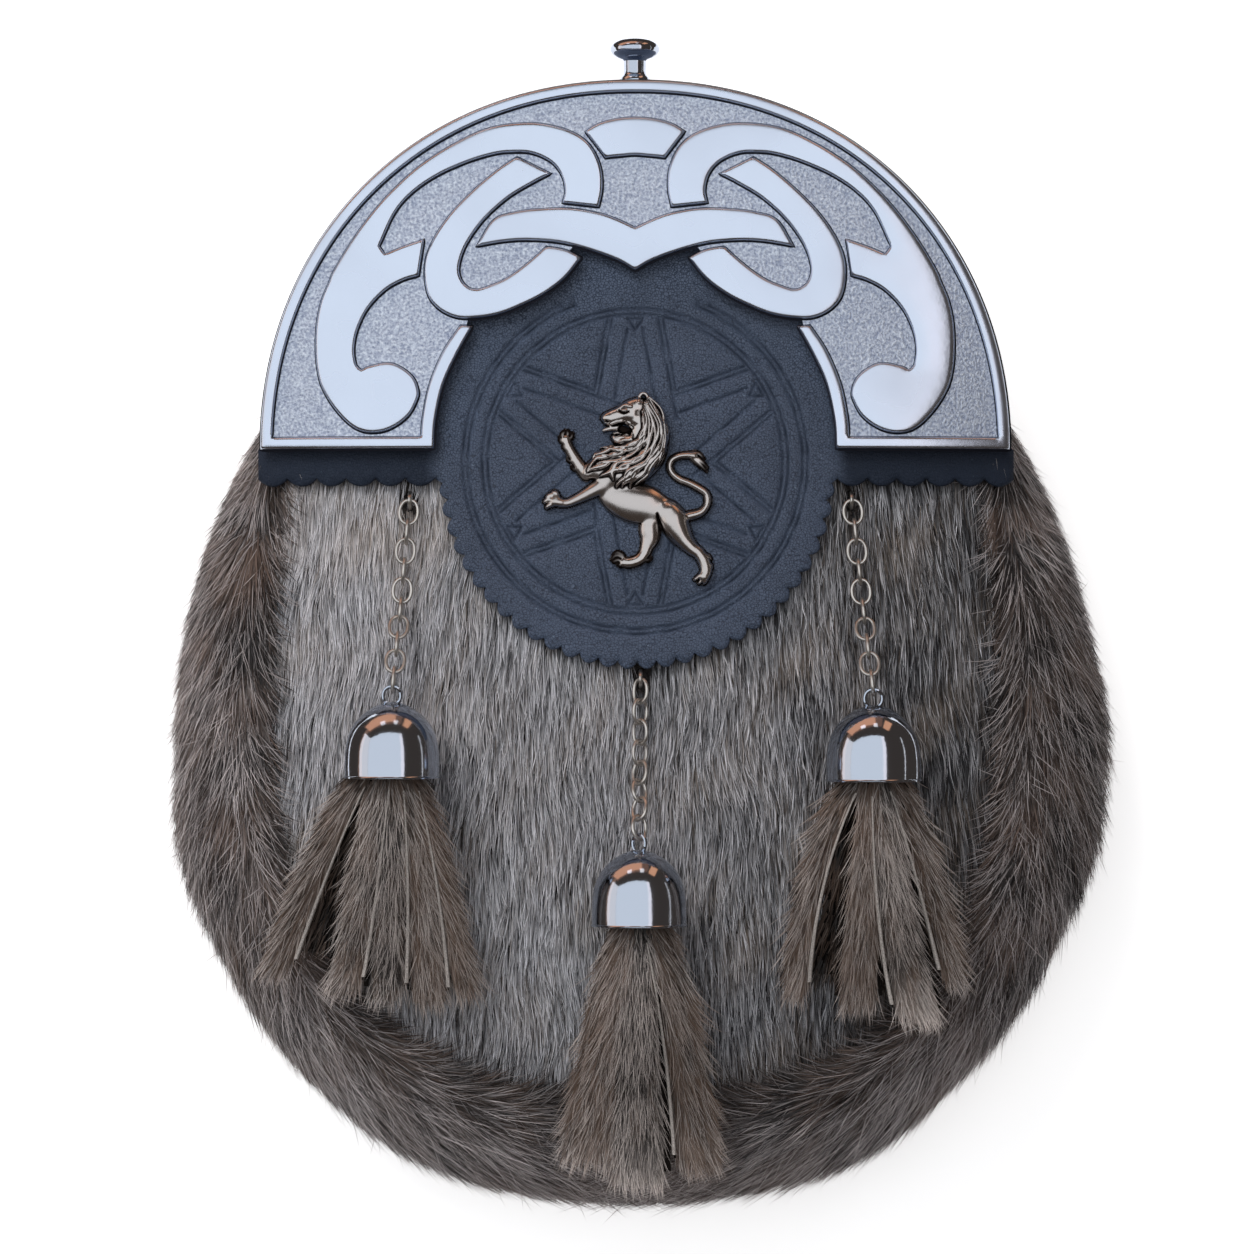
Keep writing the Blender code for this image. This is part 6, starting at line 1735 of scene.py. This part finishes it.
def stitches(path, height):
    """Capsules laid end to end along a path, half sunk at a height, each turned along the path."""
    run = run_length(path)
    count = max(1, int(run[-1] // STITCH_SPACING))
    at = (np.arange(count) + 0.5) * run[-1] / count
    place, ahead = (np.stack([np.interp(at + step, run, path[:, k]) for k in (0, 1)], 1)
                    for step in (-0.1, 0.1))
    heading = unit(ahead - place)
    side = np.stack((-heading[:, 1], heading[:, 0]), 1)
    c, s = circle(STITCH_SIDES)
    along, radius = STITCH_STATIONS.T
    plan = (place[:, None, None] + heading[:, None, None] * along[None, :, None, None]
            + side[:, None, None] * (radius[:, None] * c)[None, ..., None])
    z = np.broadcast_to(height + radius[:, None] * s, plan.shape[:3])
    points = np.concatenate((plan, z[..., None]), -1).reshape(-1, 3)
    each = len(along) * STITCH_SIDES
    quads = grid_faces(len(along), STITCH_SIDES, wrap_columns=True)
    caps = [list(reversed(range(STITCH_SIDES))), list(range(each - STITCH_SIDES, each))]
    faces = (quads[:, ::-1][None] + each * np.arange(count)[:, None, None]).reshape(-1, 4).tolist()
    faces += [[i + each * k for i in cap] for k in range(count) for cap in caps]
    return points, faces, 0.0


rows = [stitches(np.vstack((ring, ring[:1])), BACK_LEVEL) for ring in (back_edge(4.0), slot_ring(3.2))]
across = np.linspace(-LOOP_WIDTH / 2 + 0.6, LOOP_WIDTH / 2 - 0.6, 30)
for sign in (-1.0, 1.0):
    for y in (foot_y + 2.4, foot_y + 5.4, -foot_y - 2.4, -foot_y - 5.4):
        rows.append(stitches(np.column_stack((sign * LOOP_X + across, np.full(30, LOOP_Y + y))), foot_z))
joined("back_stitches", rows, thread, "black_leather", sharp=180.0)

# %% [markdown]
# ## Studio
# The pouch lies on its back and the camera looks straight down on it, as in the photograph: a long
# lens, a pale floor, one broad soft light overhead whose edges the polished metal mirrors, a dark room
# round it, and a warm card beyond the knob.

# %% Floor, light and camera

FLOORS = (("studio_floor", 0.135, -0.0003), ("studio_room_floor", 3.0, -0.0006))     # half width, level
LIGHTS = (      # name, place, target, width and height, power, colour
    ("overhead", (-0.9, 0.45, 1.5), (-0.9, 0.45, 0.0), (3.0, 2.0), 18.3, (0.90, 0.95, 1.0)),
    ("overhead_edge", (0.725, 0.45, 1.5), (0.725, 0.45, 0.0), (0.25, 2.0), 1.9, (1.0, 0.94, 0.95)),
    ("side_window", (-2.42, 0.45, 0.9), (0.0, 0.45, 0.9), (2.0, 1.2), 7.0, (1.0, 0.97, 0.96)),
    ("horizon_line", (1.6, 0.1, 0.31), (0.0, 0.1, 0.06), (1.6, 0.06), 0.35, (1.0, 0.97, 0.95)),
    ("key", (-0.75, 1.3, 1.25), (0.0, 0.0, 0.03), (0.9, 0.7), 15.0, (1.0, 0.97, 0.94)),
    ("warm_card_left", (-0.55, 1.3, 0.12), (0.0, 0.0, 0.06), (1.5, 0.62), 1.9, (1.0, 0.46, 0.25)),
    ("warm_card_glow", (-0.45, 1.42, 0.14), (0.0, 0.0, 0.06), (2.1, 0.9), 1.0, (1.0, 0.45, 0.28)),
    ("warm_card_right", (0.62, 1.15, 0.2), (0.0, 0.0, 0.06), (0.3, 0.6), 0.5, (1.0, 0.46, 0.24)),
    ("warm_side", (-1.7, 0.5, 0.3), (0.0, 0.3, 0.2), (1.5, 0.34), 0.36, (1.0, 0.52, 0.32)),
    ("spot_left", (-0.42, 1.12, 0.34), (0.0, 0.0, 0.06), (0.2, 0.2), 0.13, (0.9, 0.95, 1.0)),
    ("spot_right", (0.12, 1.16, 0.36), (0.0, 0.0, 0.06), (0.17, 0.24), 0.13, (1.0, 0.97, 0.95)),
)
UNMIRRORED = ("studio_room_floor", "key")        # what the metal doesn't mirror
CAMERA_PLACE = (-0.0017, -0.0006, 1.14)
SENSOR_WIDTH, LENS = 36.0, 157.9

floor, tree, inputs = finish("studio_floor", Roughness=0.9, Emission_Color=(1.0, 1.0, 1.0),
                             Emission_Strength=0.66)
cloud = place_group(tree, speckle, Scale=60.0)["Broad"]
feed(tree, inputs["Base Color"], mixed(tree, cloud, (0.93, 0.93, 0.935), (0.95, 0.95, 0.955)))
for name, half, height in FLOORS:
    mesh = bpy.data.meshes.new(name)
    corners = [(x * half, y * half, height) for x, y in ((-1, -1), (1, -1), (1, 1), (-1, 1))]
    mesh.from_pydata(corners, [], [(0, 1, 2, 3)])
    mesh.materials.append(floor)
    ground = placed(name, mesh)
    ground.visible_glossy = name not in UNMIRRORED
    ground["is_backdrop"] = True

world = bpy.data.worlds.new("studio")
bpy.context.scene.world = world
world.use_nodes = True
background = world.node_tree.nodes["Background"].inputs
background["Color"].default_value = (1.0, 0.80, 0.68, 1.0)
background["Strength"].default_value = 0.06

for name, place, target, (width, height), power, colour in LIGHTS:
    light = bpy.data.lights.new(name, "AREA")
    light.shape, light.size, light.size_y = "RECTANGLE", width, height
    light.energy, light.color = power, colour
    box = placed(name, light)
    box.location = place
    box.rotation_euler = (Vector(target) - Vector(place)).to_track_quat("-Z", "Y").to_euler()
    box.visible_glossy = name not in UNMIRRORED

camera_data = bpy.data.cameras.new("camera")
camera_data.sensor_width, camera_data.lens = SENSOR_WIDTH, LENS
camera_data.clip_start, camera_data.clip_end = 0.1, 20.0
camera = placed("camera", camera_data)
camera.location = CAMERA_PLACE
bpy.context.scene.camera = camera
bpy.context.scene.view_settings.view_transform = "Standard"
print("studio:", len(LIGHTS), "lights, camera", CAMERA_PLACE[2], "m over the floor")

# %% Size and table

low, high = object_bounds()
shown = [o.data for o in bpy.data.objects if o.type == "MESH" and o.visible_get()]
triangles = sum(len(p.vertices) - 2 for mesh in shown for p in mesh.polygons)
print("triangles in view:", triangles)
print("visual box:", [round(v / MM, 1) for v in low], [round(v / MM, 1) for v in high])
